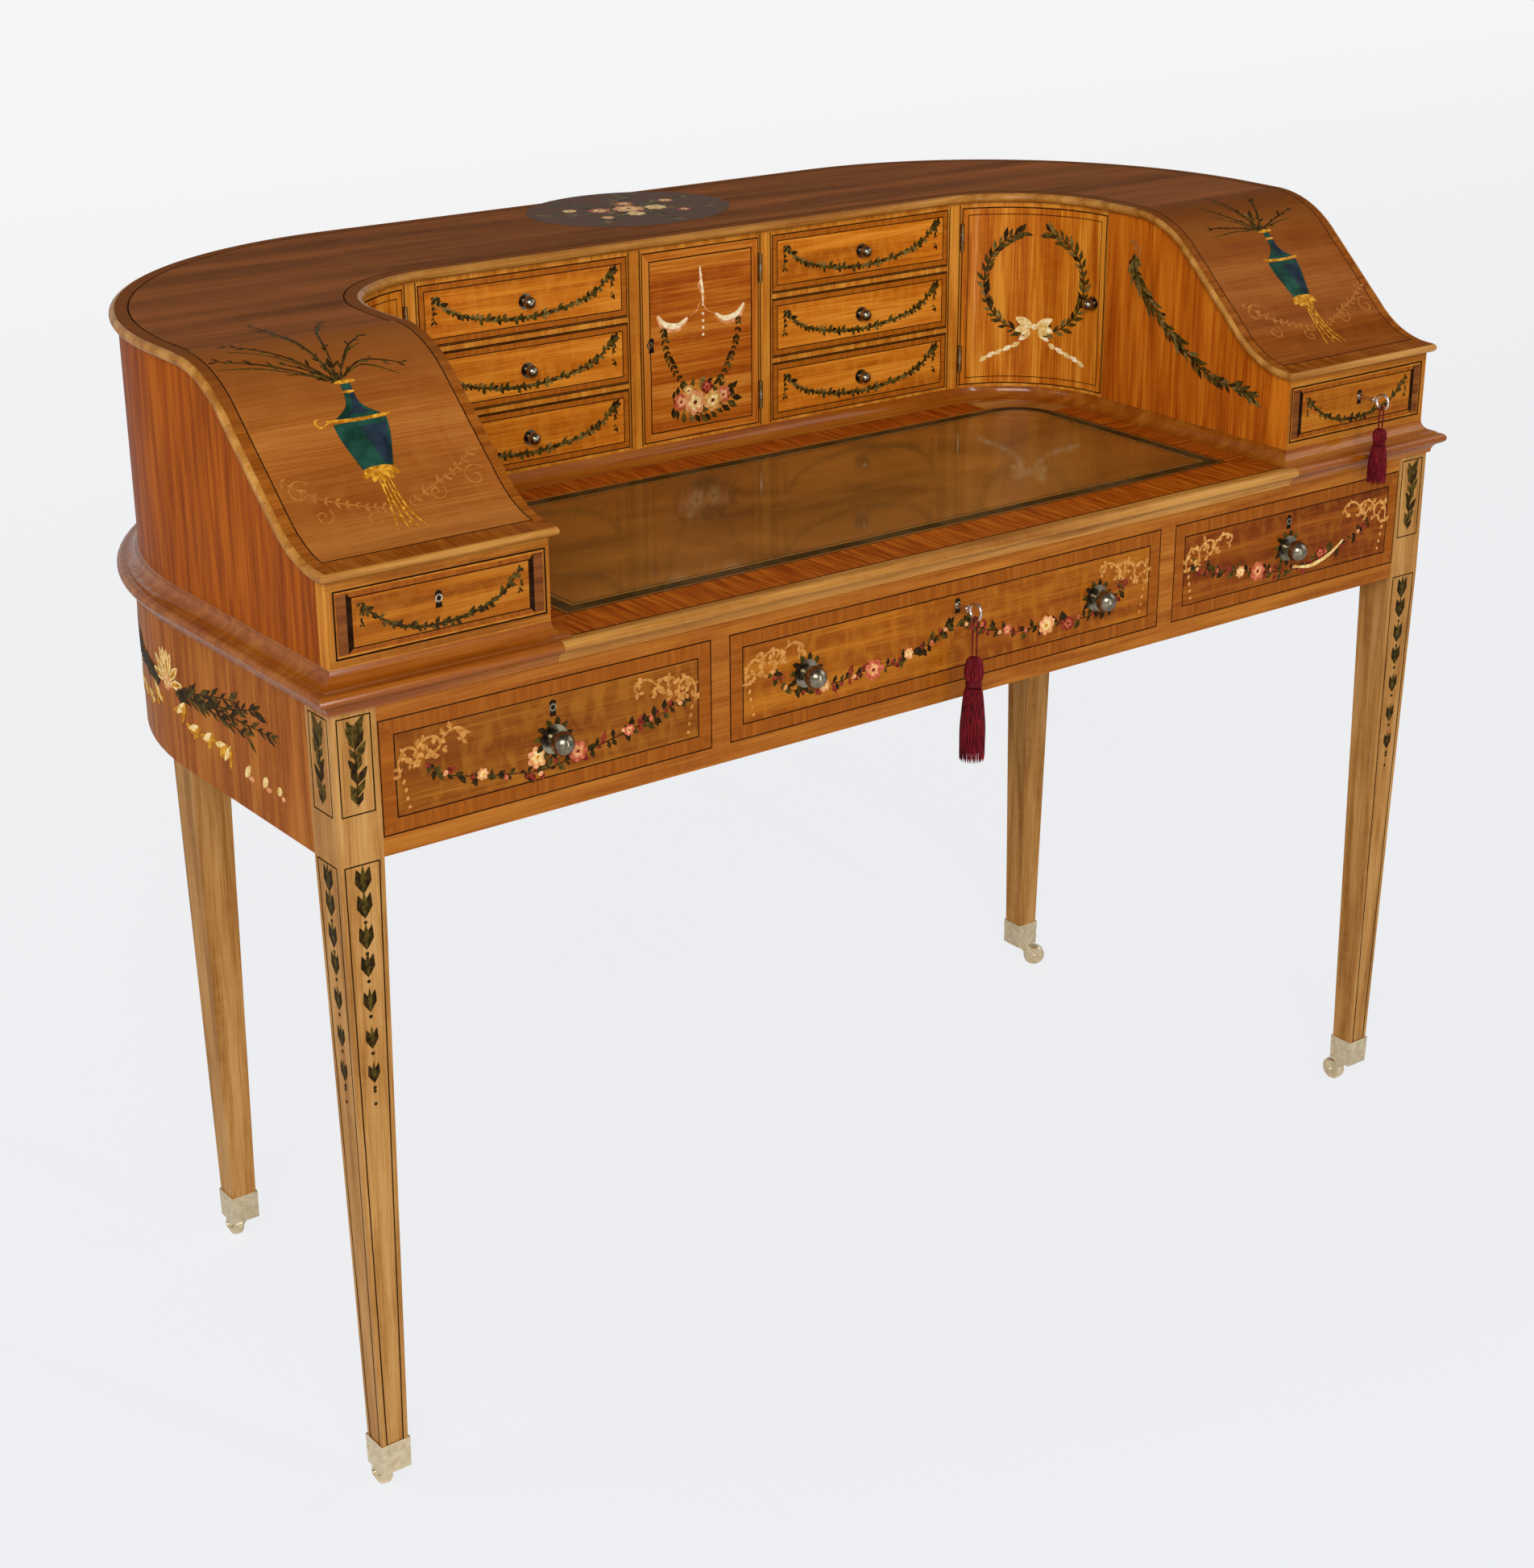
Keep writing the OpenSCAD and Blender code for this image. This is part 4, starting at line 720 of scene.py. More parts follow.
@dataclass
class Brush(Layer):
    """Painted decoration on one surface: each stroke is a thin film, at a height of its own."""

    top: float = 0.22  # how far a stroke's upper side stands off the surface, mm
    base: float = 0.1
    seed: int = 1
    count: int = 0  # strokes so far
    step: float = 0.0004  # from one stroke's height to the next one's, mm

    def __post_init__(self) -> None:
        """Starts the seeded chance that varies the leaves."""
        self.chance = random.Random(self.seed)

    def next_rise(self) -> float:
        """The next stroke's own height: a later stroke lies over the earlier ones."""
        self.count += 1
        return self.count * self.step

    def dab(self, finish: Finish, spot: Spot, size: Spot, turn: float = 0.0, point: float = 1.0,
            sides: int = 8) -> None:
        """One leaf, petal or dot.

        Args:
            finish: its paint.
            spot: its middle.
            size: length and width, mm.
            turn: direction of its length, radians.
            point: 1 for pointed ends, 0 for round.
            sides: corners of its outline.
        """
        verts = bmesh.ops.create_circle(self.bm, cap_ends=True, segments=sides, radius=1.0)["verts"]
        rise, c, s = self.next_rise(), math.cos(turn), math.sin(turn)
        for vert in verts:
            along = vert.co.x * size[0] / 2
            side = vert.co.y * (1 - point * vert.co.x**2) * size[1] / 2
            vert.co = (spot[0] + along * c - side * s, spot[1] + along * s + side * c, rise)
        self.give(verts, finish)

    def stroke(self, finish: Finish, spots: Sequence[Spot], width: float,
               taper: float = 0.6) -> None:
        """A line through spots that thins to its ends."""
        run = sum((Vector(b) - Vector(a)).length for a, b in zip(spots, spots[1:]))
        steps = max(int(run / 2.5), 5)  # pieces of about 2.5 mm
        verts = bmesh.ops.create_grid(self.bm, x_segments=steps, y_segments=1, size=0.5)["verts"]
        rise = self.next_rise()
        for vert in verts:
            s = vert.co.x + 0.5
            here, ahead = flow(spots, s)
            half = vert.co.y * width * (1 - taper * abs(2 * s - 1) ** 2)
            vert.co = (here[0] - ahead[1] * half, here[1] + ahead[0] * half, rise)
        self.give(verts, finish)

    def garland(self, finishes: Sequence[Finish], spots: Sequence[Spot], leaf: float, gap: float,
                thin: float, spread: float, wild: float = 0.0) -> None:
        """Pairs of leaves along a line.

        Args:
            finishes: paints to choose from.
            spots: the spots that the line passes.
            leaf: length of a leaf, mm.
            gap: from pair to pair, mm.
            thin: width of a leaf over its length.
            spread: angle of a leaf off the line, radians.
            wild: how far the leaves stray from their places, 0 to 1.
        """
        run = sum((Vector(b) - Vector(a)).length for a, b in zip(spots, spots[1:]))
        pairs = max(int(run / gap), 1)
        for i in range(pairs + 1):
            for side in SIDES:
                s = (i + wild * self.chance.uniform(-1, 1)) / pairs
                here, ahead = flow(spots, min(max(s, 0.0), 1.0))
                lean = side * spread * self.chance.uniform(0.7 - wild, 1.2 + wild)
                turn = math.atan2(ahead[1], ahead[0]) + lean
                size = leaf * self.chance.uniform(0.7 - 0.3 * wild, 1.15)
                spot = off(here, turn, size / 2)
                self.dab(self.chance.choice(finishes), spot, (size, size * thin), turn=turn)

    def dots(self, finish: Finish, spots: Sequence[Spot], size: float) -> None:
        """Round dots."""
        for spot in spots:
            self.dab(finish, spot, (size, size), turn=0.0, point=0.0)

    def rose(self, spot: Spot, size: float, outer: Finish, inner: Finish, heart: Finish) -> None:
        """A full rose: a ring of petals, a smaller lighter ring and a heart."""
        rings = ((outer, 0.0, 0.3, 0.42, 7), (inner, 0.5, 0.16, 0.3, 5))
        for finish, start, reach, petal, count in rings:
            for i in range(count):
                turn, wide = math.tau * (i + start) / count, petal * size
                self.dab(finish, off(spot, turn, reach * size), (wide, wide * 0.85), turn=turn,
                         point=0.1)
        self.dab(heart, spot, (0.2 * size, 0.17 * size), turn=0.4, point=0.0)

    def scroll(self, finish: Finish, spot: Spot, size: float, start: float, hand: int, width: float,
               turns: float = 1.2) -> None:
        """A spiral line that winds in to its spot."""
        spots = []
        for s in (i / 14 for i in range(15)):
            turn = start + hand * math.tau * turns * s
            spots.append(off(spot, turn, size * (1 - 0.85 * s)))
        self.stroke(finish, spots, width=width, taper=0.3)

    def husk(self, finish: Finish, light: Finish, spot: Spot, size: Spot, turn: float) -> None:
        """A bell flower of three petals that opens along a direction."""
        for side in SIDES:
            lean = turn + side * 0.26
            self.dab(finish, off(spot, lean, size[0] * 0.45), (size[0] * 0.92, size[1] * 0.62),
                     turn=lean)
        self.dab(light, off(spot, turn, size[0] * 0.5), (size[0], size[1] * 0.36), turn=turn)

    def keyhole(self, spot: Spot) -> None:
        """A keyhole in painted shade: a dark round head and a flared foot where the opening is."""
        u, v = spot
        self.dab(INK_AND_HOLE_SHADE, (u, v + 3.5), (6.4, 6.4), turn=0.0, point=0.0, sides=16)
        self.plate(INK_AND_HOLE_SHADE, (u - 3.2, v - 8.0), (u + 3.2, v - 8.0), (u + 1.6, v + 3.0),
                   (u - 1.6, v + 3.0), self.next_rise())

    def rosette(self, spot: Spot) -> None:
        """Small dark leaves round a knob."""
        for i in range(11):
            turn = math.tau * (i + 0.25) / 11
            reach = self.chance.uniform(14.0, 15.5)
            self.dab((LEAF_DARK, LEAF)[i % 2], off(spot, turn, reach), (9.0, 5.6), turn=turn + 0.3,
                     point=0.6)

    def vase(self, finish: Finish, axis: Callable[[float], float], sides: Sequence[Spot]) -> None:
        """A turned shape seen from the front; sides are heights with half widths."""
        heights = [(float(i), v) for i, (v, _) in enumerate(sides)]
        halves = [(float(i), half) for i, (_, half) in enumerate(sides)]

        def edge(turn: int) -> Line:
            """One side's line."""
            def line(s: float) -> Spot:
                """The place from 0 to 1."""
                v, half = flow(heights, s)[0][1], max(flow(halves, s)[0][1], 0.5)
                return axis(v) + turn * half, v
            return line

        self.ruled(finish, edge(-1), edge(1), steps=20, rows=1, rise=self.next_rise())


def tube(bm: bmesh.types.BMesh, route: Sequence[Vector], across: Vector, sides: int,
         radius: Callable[[float, float], float]) -> None:
    """A closed tube along a route.

    Args:
        bm: where it is made.
        route: its centreline in metres.
        across: a direction that the route never takes.
        sides: sides of its section.
        radius: metres, from the place along it and around it, each 0 to 1.
    """
    last = len(route) - 1
    verts = bmesh.ops.create_grid(bm, x_segments=last, y_segments=sides, size=0.5)["verts"]
    for vert in verts:
        s, t = vert.co.x + 0.5, vert.co.y + 0.5
        i = round(s * last)
        ahead = (route[min(i + 1, last)] - route[max(i - 1, 0)]).normalized()
        one = ahead.cross(across).normalized()
        two = ahead.cross(one)
        reach = 0.0 if i in (0, last) else radius(s, t % 1.0)
        vert.co = route[i] + (one * math.cos(math.tau * t) + two * math.sin(math.tau * t)) * reach
    bmesh.ops.remove_doubles(bm, verts=verts, dist=1e-7)


@dataclass
class Tassels:
    """The silk tassels on the two keys, each on a loop of cord through the key's bow."""

    cord_thick: float = 1.6
    strands: int = 64
    bow_y: float = -11.1  # how far the keys' bows stand before the table moulding

    def route(self, spot: tuple[float, float, float], drop: int) -> list[Vector]:
        """The loop's centreline, up from the tassel, over the bow and down again."""
        over = [(-2.7, 0.0), (-2.3, 1.4), (-1.4, 2.3), (0.0, 2.7), (1.4, 2.3), (2.3, 1.4),
                (2.7, 0.0)]
        rise = [(-2.7, float(z)) for z in range(-drop, 0, 4)]
        fall = [(2.7, float(z)) for z in range(-4, -drop - 1, -4)]
        x, y, z = spot
        return [at(x + dx, y, z + dz) for dx, dz in rise + over + fall]

    def cord(self, name: str, spot: tuple[float, float, float], drop: int) -> None:
        points = self.route(spot, drop)
        fine = [a.lerp(b, k / 4) for a, b in zip(points, points[1:]) for k in range(4)]
        fine.append(points[-1])
        length = sum((b - a).length for a, b in zip(points, points[1:]))
        bm = bmesh.new()
        half, turns = self.cord_thick / 2 * MM, length / MM / 4.5
        tube(bm, fine, Vector((0, 1, 0)), 12,
             lambda s, t: half * (0.95 + 0.05 * math.cos(math.tau * (3 * t + turns * s))))
        bmesh.ops.recalc_face_normals(bm, faces=bm.faces[:])
        obj = mesh_object(f"{name}_silk_cord", bm, [SILK.build()])
        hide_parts(f"tassel_cord_{name}")
        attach(obj, f"tassel_{name}_body")

    def tassel(self, name: str, x: float, z: float, radius: float, long: float) -> None:
        """Makes one tassel: a corded head, a bound neck and a skirt of twisted strands."""
        head = 0.28 * long
        middle = at(x, self.bow_y, z)
        chance = random.Random(long)
        # Place down the head with its radius, each a share of the whole
        shape = [(0.0, 0.3), (0.06, 0.42), (0.14, 0.55), (0.3, 0.64), (0.55, 0.67), (0.74, 0.62),
                 (0.8, 0.54), (0.84, 0.62), (0.88, 0.54), (0.92, 0.62), (0.96, 0.54), (1.0, 0.58)]

        def head_radius(s: float, t: float) -> float:
            """The corded head's radius: a ball with a bound neck under it."""
            last = len(shape) - 2
            below = next((k for k in range(last) if shape[k + 1][0] >= s), last)
            (a, ra), (b, rb) = shape[below], shape[below + 1]
            wide = ra + (rb - ra) * min(max((s - a) / (b - a), 0.0), 1.0)
            ribs = 0.035 * math.cos(math.tau * 20 * t) if s < 0.76 else 0.0
            return radius * MM * (wide + ribs)

        bm = bmesh.new()
        ball = [middle - Vector((0, 0, head * MM * i / 40)) for i in range(41)]
        tube(bm, ball, Vector((1, 0, 0)), 80, head_radius)
        skirt = (long - head) * MM
        core = [middle - Vector((0, 0, head * MM * 0.95 + skirt * 0.93 * i / 12))
                for i in range(13)]
        tube(bm, core, Vector((1, 0, 0)), 24,
             lambda s, t: radius * MM * (0.42 + 0.4 * min(s * 1.6, 1.0)))
        thick = 0.66 * MM * (radius / 13)
        for i in range(self.strands):
            turn = math.tau * i / self.strands
            out = Vector((math.cos(turn), math.sin(turn), 0.0))
            side = Vector((-out.y, out.x, 0.0))
            wave, flare = chance.uniform(0, math.tau), chance.uniform(0.93, 1.0)
            route = []
            for k in range(13):
                s = k / 12
                reach = radius * MM * flare * (0.56 + 0.36 * min(s * 1.9, 1.0) ** 0.7 - 0.02 * s)
                sway = 0.35 * MM * math.sin(wave + 5 * s)
                drop = head * MM * 0.97 + skirt * s * chance.uniform(0.985, 0.995)
                route.append(middle + out * reach + side * sway - Vector((0, 0, drop)))
            tube(bm, route, out, 6,
                 lambda s, t: thick * (1 + 0.12 * math.cos(math.tau * (2 * t + 14 * s))))
        bmesh.ops.recalc_face_normals(bm, faces=bm.faces[:])
        obj = mesh_object(f"{name}_silk_tassel", bm, [SILK.build()])
        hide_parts(f"tassel_{name}")
        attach(obj, f"tassel_{name}_body")

    def make(self) -> None:
        """Makes both tassels with their cords."""
        self.cord("centre", spot=(0.0, self.bow_y, 703.25), drop=36)
        self.cord("wing", spot=(540.0, self.bow_y, 816.7), drop=20)
        self.tassel("centre", x=0.0, z=667.25, radius=13.0, long=104.0)
        self.tassel("wing", x=540.0, z=796.7, radius=10.5, long=58.0)


class NodeFinishes:
    """Puts a procedural finish on every CAD node that stays in view."""

    WOODS: dict[str, tuple[Wood, Grain]] = {
        "leg_": (LEG, Grain.Z),
        "frieze_apron": (APRON, Grain.Z),
        "gallery_shell": (SATIN_WALL, Grain.Z),
        "gallery_face": (GALLERY_RAIL, Grain.Z),
        "frieze_frame": (RAIL, Grain.X),
        "drawer_runners": (OAK, Grain.Y),
        "gallery_partitions": (OAK, Grain.Y),
        "table_top": (TULIP, Grain.Y),
        "writing_slide": (PALE, Grain.X),
        "table_moulding": (MOULD, Grain.X),
        "gallery_foot_moulding": (MOULD, Grain.X),
        "gallery_top": (PALE, Grain.X),
        "door_left": (FLAME, Grain.Z),
        "door_right": (FLAME, Grain.Z),
        "door_centre": (FLAME, Grain.Z),
    }
    METALS: dict[str, Metal] = {
        "castor": CASTOR_BRASS,
        "key": KEY_STEEL,
        "door_hinge": HINGE_BRASS,
        "brass": DARK_BRASS,
        "knob": DARK_BRASS,
        "lock": DARK_BRASS,
    }

    def finish(self, name: str) -> Material:
        """The material of one node."""
        if name.startswith("tassel"):
            return SILK.build()
        if name == "leather_inset":
            return LEATHER.build()
        for part, metal in self.METALS.items():
            if part in name:
                return metal.build()
        for start, (wood, grain) in self.WOODS.items():
            if name.startswith(start):
                return wood.build(grain)
        return SATIN.x

    def dress(self) -> None:
        """Assigns the materials."""
        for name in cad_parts:
            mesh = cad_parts[name].data
            mesh.materials.clear()
            mesh.materials.append(self.finish(name))
            LOG.info("finish %s on %s", mesh.materials[0].name, name)


@dataclass
class FriezeDrawers:
    """The three long drawers of the frieze: crossbanded, strung and painted."""

    low: float = 635.9
    high: float = 735.6
    band: float = 12.5
    knob_z: float = 682.75
    keyhole_z: float = 710.75
    knobs: dict[str, tuple[float, ...]] = field(default_factory=lambda: {
        "left": (-441.0,), "centre": (-176.0, 176.0), "right": (441.0,)})
    fronts: dict[str, Spot] = field(default_factory=lambda: {
        "left": (-604.6, -279.4), "centre": (-259.6, 259.6), "right": (279.4, 604.6)})

    def veneer(self, name: str, x0: float, x1: float) -> None:
        """Lays the field and the bands on one front."""
        wood = {"left": FRIEZE_LEFT, "centre": FRIEZE_MIDDLE, "right": FRIEZE_RIGHT}[name]
        front = Layer(Upright(FRIEZE_Y))
        front.panel((x0, self.low, x1, self.high), wood.x, FRIEZE_CROSS.z, FRIEZE_CROSS.x,
                    width=self.band)
        front.lay(f"frieze_{name}_veneer", f"frieze_drawer_{name}", "drawer_wood")

    def sprig(self, brush: Brush, x: float, side: int, kinds: Sequence[Paint]) -> None:
        """Leafy scrolls with a drop of dots in one end of a front; side is 1 at the left end."""
        main, soft = kinds
        for spots in ([(8, 684), (7, 697), (14, 707), (23, 704), (24, 695), (17, 693)],
                      [(24, 704), (32, 711), (42, 711), (46, 703), (39, 698),
                       (34, 702)], [(46, 706), (54, 713), (63, 714), (70, 709), (66, 703)]):
            line = [(x + side * d, z) for d, z in spots]
            brush.stroke(main, line, width=2.4, taper=0.5)
            brush.garland((main, soft, soft), line, leaf=8.0, gap=9.5, thin=0.62, spread=0.9,
                          wild=0.5)
        line = [(x + side * d, z) for d, z in ((22, 690), (36, 694), (47, 698))]
        brush.garland((soft,), line, leaf=7.0, gap=9.0, thin=0.6, spread=0.5, wild=0.4)
        for k in range(4):
            brush.dab(main, (x + side * (11 + 1.4 * k), 679 - 7.5 * k), (5.0 - 0.6 * k, 3.4),
                      turn=1.2, point=0.4)

    def swag(self, brush: Brush, spots: Sequence[Spot],
             flowers: Sequence[tuple[float, float, float, str]]) -> None:
        """A leafy garland with roses on it; each flower has its place, size and colour."""
        brush.stroke(LEAF_DARK, spots, width=1.2)
        brush.garland((LEAF_DARK, LEAF_DARK, LEAF, MADDER), spots, leaf=10.5, gap=6.2, thin=0.55,
                      spread=0.9, wild=0.6)
        for k in range(14):
            here, _ = flow(spots, (k + 0.5) / 14)
            place = here[0] + brush.chance.uniform(-3, 3), here[1] + brush.chance.uniform(-3.5, 3.5)
            brush.dab((MADDER, BLUSH, MADDER, PINK)[k % 4], place, (5.5, 4.4), turn=k * 0.7,
                      point=0.1)
        rosy = {"cream": (BLUSH, CREAM, GILT), "pink": (PINK, BLUSH, MADDER),
                "madder": (MADDER, PINK, INK_AND_HOLE_SHADE)}
        for u, v, size, colour in flowers:
            brush.rose((u, v), size, *rosy[colour])

    def paint(self, name: str, x0: float, x1: float) -> None:
        """Paints one front."""
        brush = Brush(Upright(FRIEZE_Y), seed=len(name))
        if name == "centre":
            half = [(-213.6, 694), (-190, 669), (-142, 666), (-115, 670), (-79, 669), (-47, 676),
                    (-23, 685), (-9, 694)]
            self.swag(brush, half, [(-99, 669, 21, "pink"), (-155, 666, 12, "cream"),
                                    (-58, 676, 11, "cream")])
            self.swag(brush, mirrored(half),
                      [(112, 668, 20, "cream"), (140, 664, 15, "madder"), (62, 674, 11, "pink")])
        elif name == "left":
            curve = ((42, 689), (68, 673), (130, 660), (158, 658), (200, 665), (242, 673),
                     (268, 679), (297, 690))
            line = [(x0 + d, z) for d, z in curve]
            self.swag(brush, line, [(x0 + 147, 670, 20, "cream"), (x0 + 187, 666, 19, "pink"),
                                    (x0 + 239, 673, 11, "pink"), (x0 + 94, 668, 11, "cream")])
        else:
            curve = ((42, 689), (68, 675), (120, 662), (158, 658), (200, 664), (242, 673),
                     (268, 679), (297, 690))
            line = [(x1 - d, z) for d, z in curve]
            self.swag(brush, line, [(x0 + 120, 666, 21, "pink"), (x0 + 95, 670, 13, "cream"),
                                    (x0 + 212, 668, 14, "madder")])
            brush.stroke(CREAM, [(x0 + 175, 660), (x0 + 200, 657), (x0 + 226, 664),
                                 (x0 + 246, 676)], width=4.0)
        kinds = (PEACH, SPRIG) if name == "right" else (SPRIG, SPRIG)
        self.sprig(brush, x0 + 10, 1, kinds)
        self.sprig(brush, x1 - 10, -1, kinds)
        for x in self.knobs[name]:
            brush.rosette((x, self.knob_z))
        brush.keyhole((sum(self.knobs[name]) / len(self.knobs[name]), self.keyhole_z))
        brush.lay(f"frieze_{name}_painting", f"frieze_drawer_{name}", "drawer_wood")

    def make(self) -> None:
        """Makes the three fronts."""
        for name, (x0, x1) in self.fronts.items():
            self.veneer(name, x0, x1)
            self.paint(name, x0, x1)


@dataclass
class GalleryFronts:
    """The six small drawers round the writing well, and the stiles and rails between them."""

    rows: dict[str, float] = field(default_factory=lambda: {"bottom": 787.0, "middle": 853.33,
                                                            "top": 919.67})
    high: float = 58.83
    ends: Spot = (88.8, 321.2)  # a front's two ends
    hole: Spot = (88.4, 321.6)  # the opening's, a gap wider
    rails: Spot = (845.83, 912.17)  # foot of each rail
    stiles: tuple[Spot, Spot] = ((73.0, 87.0), (323.2, 337.2))

    def drawer(self, side: int, row: str, low: float) -> None:
        """Veneers and paints one front."""
        name = f"{SIDES[side]}_{row}"
        x0, x1 = sorted(side * x for x in self.ends)
        front = Layer(WellFace(), top=0.3)
        front.panel((x0, low + 0.4, x1, low + self.high - 0.4), SATIN.x, CROSS.z, CROSS.x,
                    width=5.0, edge=0.9, string=1.0)
        front.lay(f"gallery_{name}_veneer", f"small_drawer_{name}", "drawer_wood")
        brush = Brush(WellFace(), top=0.45, base=0.28, seed=3)
        top = low + self.high - 12
        for end in (-1, 1):
            x = side * 205 + end * 100
            drop = [(x, top), (x - end * 0.5, top - 12), (x, top - 24)]
            brush.garland((LEAF, LEAF_DARK), drop, leaf=5.5, gap=4.5, thin=0.5, spread=0.6,
                          wild=0.4)
        swag = [(x0 + 16, top - 2), (x0 + 40, low + 27), (x0 + 78, low + 17), (x0 + 116, low + 14),
                (x0 + 154, low + 17), (x0 + 192, low + 27), (x1 - 16, top - 1)]
        brush.stroke(LEAF, swag, width=3.4, taper=0.5)
        brush.garland((LEAF, LEAF_DARK, LEAF_PALE), swag, leaf=6.8, gap=4.6, thin=0.6, spread=0.7,
                      wild=0.4)
        brush.lay(f"gallery_{name}_painting", f"small_drawer_{name}", "drawer_wood")

    def make(self) -> None:
        """Makes the fronts and the strings on the face frame."""
        for side in SIDES:
            for row, low in self.rows.items():
                self.drawer(side, row, low)
            rails = Layer(WellFace(), top=0.35)
            ebony = EBONY.x
            x0, x1 = sorted(side * x for x in self.hole)
            for low in self.rails:
                for z in (low + 0.2, low + 6.3):
                    rails.tile(ebony, (x0, z, x1, z + 1.0))
            for stile in self.stiles:
                x0, x1 = sorted(side * x for x in stile)
                for x in (x0, x1 - 1.0):
                    rails.tile(ebony, (x, 785.5, x + 1.0, 981.5))
            rails.lay(f"gallery_{SIDES[side]}_face_strings", "desk", "pale_wood")


@dataclass
class CupboardDoors:
    """The middle door and the two curved corner doors."""

    low: float = 787.4
    high: float = 978.1

    def middle(self) -> None:
        """The flat middle door: a drop between two crescents, leafy chains and a bouquet."""
        front = Layer(Upright(DOOR_Y), top=0.2)
        front.panel((-71.2, self.low, 71.2, self.high), DOOR_SATIN.x, DOOR_SATIN.x, DOOR_SATIN.z,
                    width=7.5)
        front.lay("centre_door_veneer", "cupboard_door_centre", "door_wood")
        brush = Brush(Upright(DOOR_Y), top=0.36, base=0.18, seed=8)
        leaves = (LEAF, LEAF, LEAF_DARK, LEAF_PALE)
        brush.stroke(IVORY, [(-1, 958), (0, 945), (2, 932), (2, 918)], width=2.8, taper=0.5)
        brush.stroke(BLUSH, [(2, 950), (-3, 938), (5, 926)], width=2.0)
        brush.dots(IVORY, [(2.0, 910 - 7.0 * k) for k in range(4)], size=3.2)
        for side in SIDES:
            brush.stroke(BLUSH, [(side * 54, 914), (side * 45, 903), (side * 29, 900),
                                 (side * 16, 908)], width=8.5, taper=0.9)
            brush.stroke(IVORY, [(side * 53, 915), (side * 44, 905), (side * 29, 902),
                                 (side * 17, 909)], width=5.6, taper=0.9)
            brush.stroke(BLUSH, [(side * 15, 909), (side * 6, 914), (side * 1, 924)], width=1.0)
            chain = [(side * 47, 902), (side * 43, 880), (side * 36, 861), (side * 23, 841)]
            brush.garland((LEAF_DARK, LEAF), chain, leaf=8.0, gap=5.6, thin=0.5, spread=0.6)
        brush.garland(leaves, [(-36, 820), (-18, 811), (0, 808), (18, 811), (36, 820)], leaf=13.0,
                      gap=6.5, thin=0.5, spread=0.95)
        brush.garland(leaves, [(-36, 828), (0, 838), (36, 828)], leaf=11.0, gap=7.5, thin=0.5,
                      spread=0.95)
        for x, z, size, outer, inner in (
                (-26, 824, 19, PINK, BLUSH), (26, 824, 18, PINK, BLUSH), (6, 835, 15, MADDER, PINK),
                (-9, 821, 27, BLUSH, CREAM), (13, 820, 23, PEACH, CREAM),
                (-17, 834, 13, PEACH, CREAM)):
            brush.rose((x, z), size, outer, inner, MADDER)
        brush.keyhole((-61.0, 886.75))
        brush.lay("centre_door_painting", "cupboard_door_centre", "door_wood")

    def corner(self, side: int) -> None:
        """One curved door: a laurel wreath tied with a bow."""
        name = SIDES[side]
        u0, u1 = sorted((side * 339.4, side * 506.2))
        front = Layer(WellFace(), top=0.4)
        ebony = EBONY.x
        box = front.band(ebony, ebony, (u0, self.low, u1, self.high), width=1.0)
        box = front.band(FLAME.z, FLAME.z, box, width=6.0)
        front.tile(FLAME.z, front.band(ebony, ebony, box, width=0.9))
        front.lay(f"{name}_door_veneer", f"cupboard_door_{name}", "door_wood")
        brush = Brush(WellFace(), top=0.6, base=0.38, seed=11)
        leaves = LEAF, LEAF_DARK, LEAF, LEAF_PALE
        middle, radius = side * 422, 56
        for hand in (-1, 1):
            arc = [(middle + hand * radius * math.sin(t), 898 - radius * math.cos(t))
                   for t in (0.1, 0.6, 1.1, 1.6, 2.1, 2.55, 2.85)]
            brush.stroke(LEAF_DARK, arc, width=1.8)
            brush.garland(leaves, arc, leaf=14.0, gap=7.5, thin=0.36, spread=0.6)
            crumbs = ((12, 838), (20, 830), (29, 826), (38, 822), (47, 819), (55, 815))
            for k, (d, z) in enumerate(crumbs):
                brush.dab((IVORY, CREAM)[k % 2], (middle + hand * d, z), (11.0, 5.6),
                          turn=-hand * 0.55, point=0.5)
            for d, z, turn, long in ((11, 855, 0.45, 21), (12, 848, -0.3, 19), (9, 842, -0.9, 12)):
                brush.dab(CREAM, (middle + hand * d, z), (long, 9.5), turn=hand * turn, point=0.4,
                          sides=12)
                brush.dab(IVORY, (middle + hand * (d + 1), z + 0.6), (long * 0.8, 6.0),
                          turn=hand * turn, point=0.4, sides=12)
        brush.dots(IVORY, [(middle, 850)], size=6.5)
        brush.lay(f"{name}_door_painting", f"cupboard_door_{name}", "door_wood")

    def make(self) -> None:
        """Makes the three doors' fronts."""
        self.middle()
        for side in SIDES:
            self.corner(side)


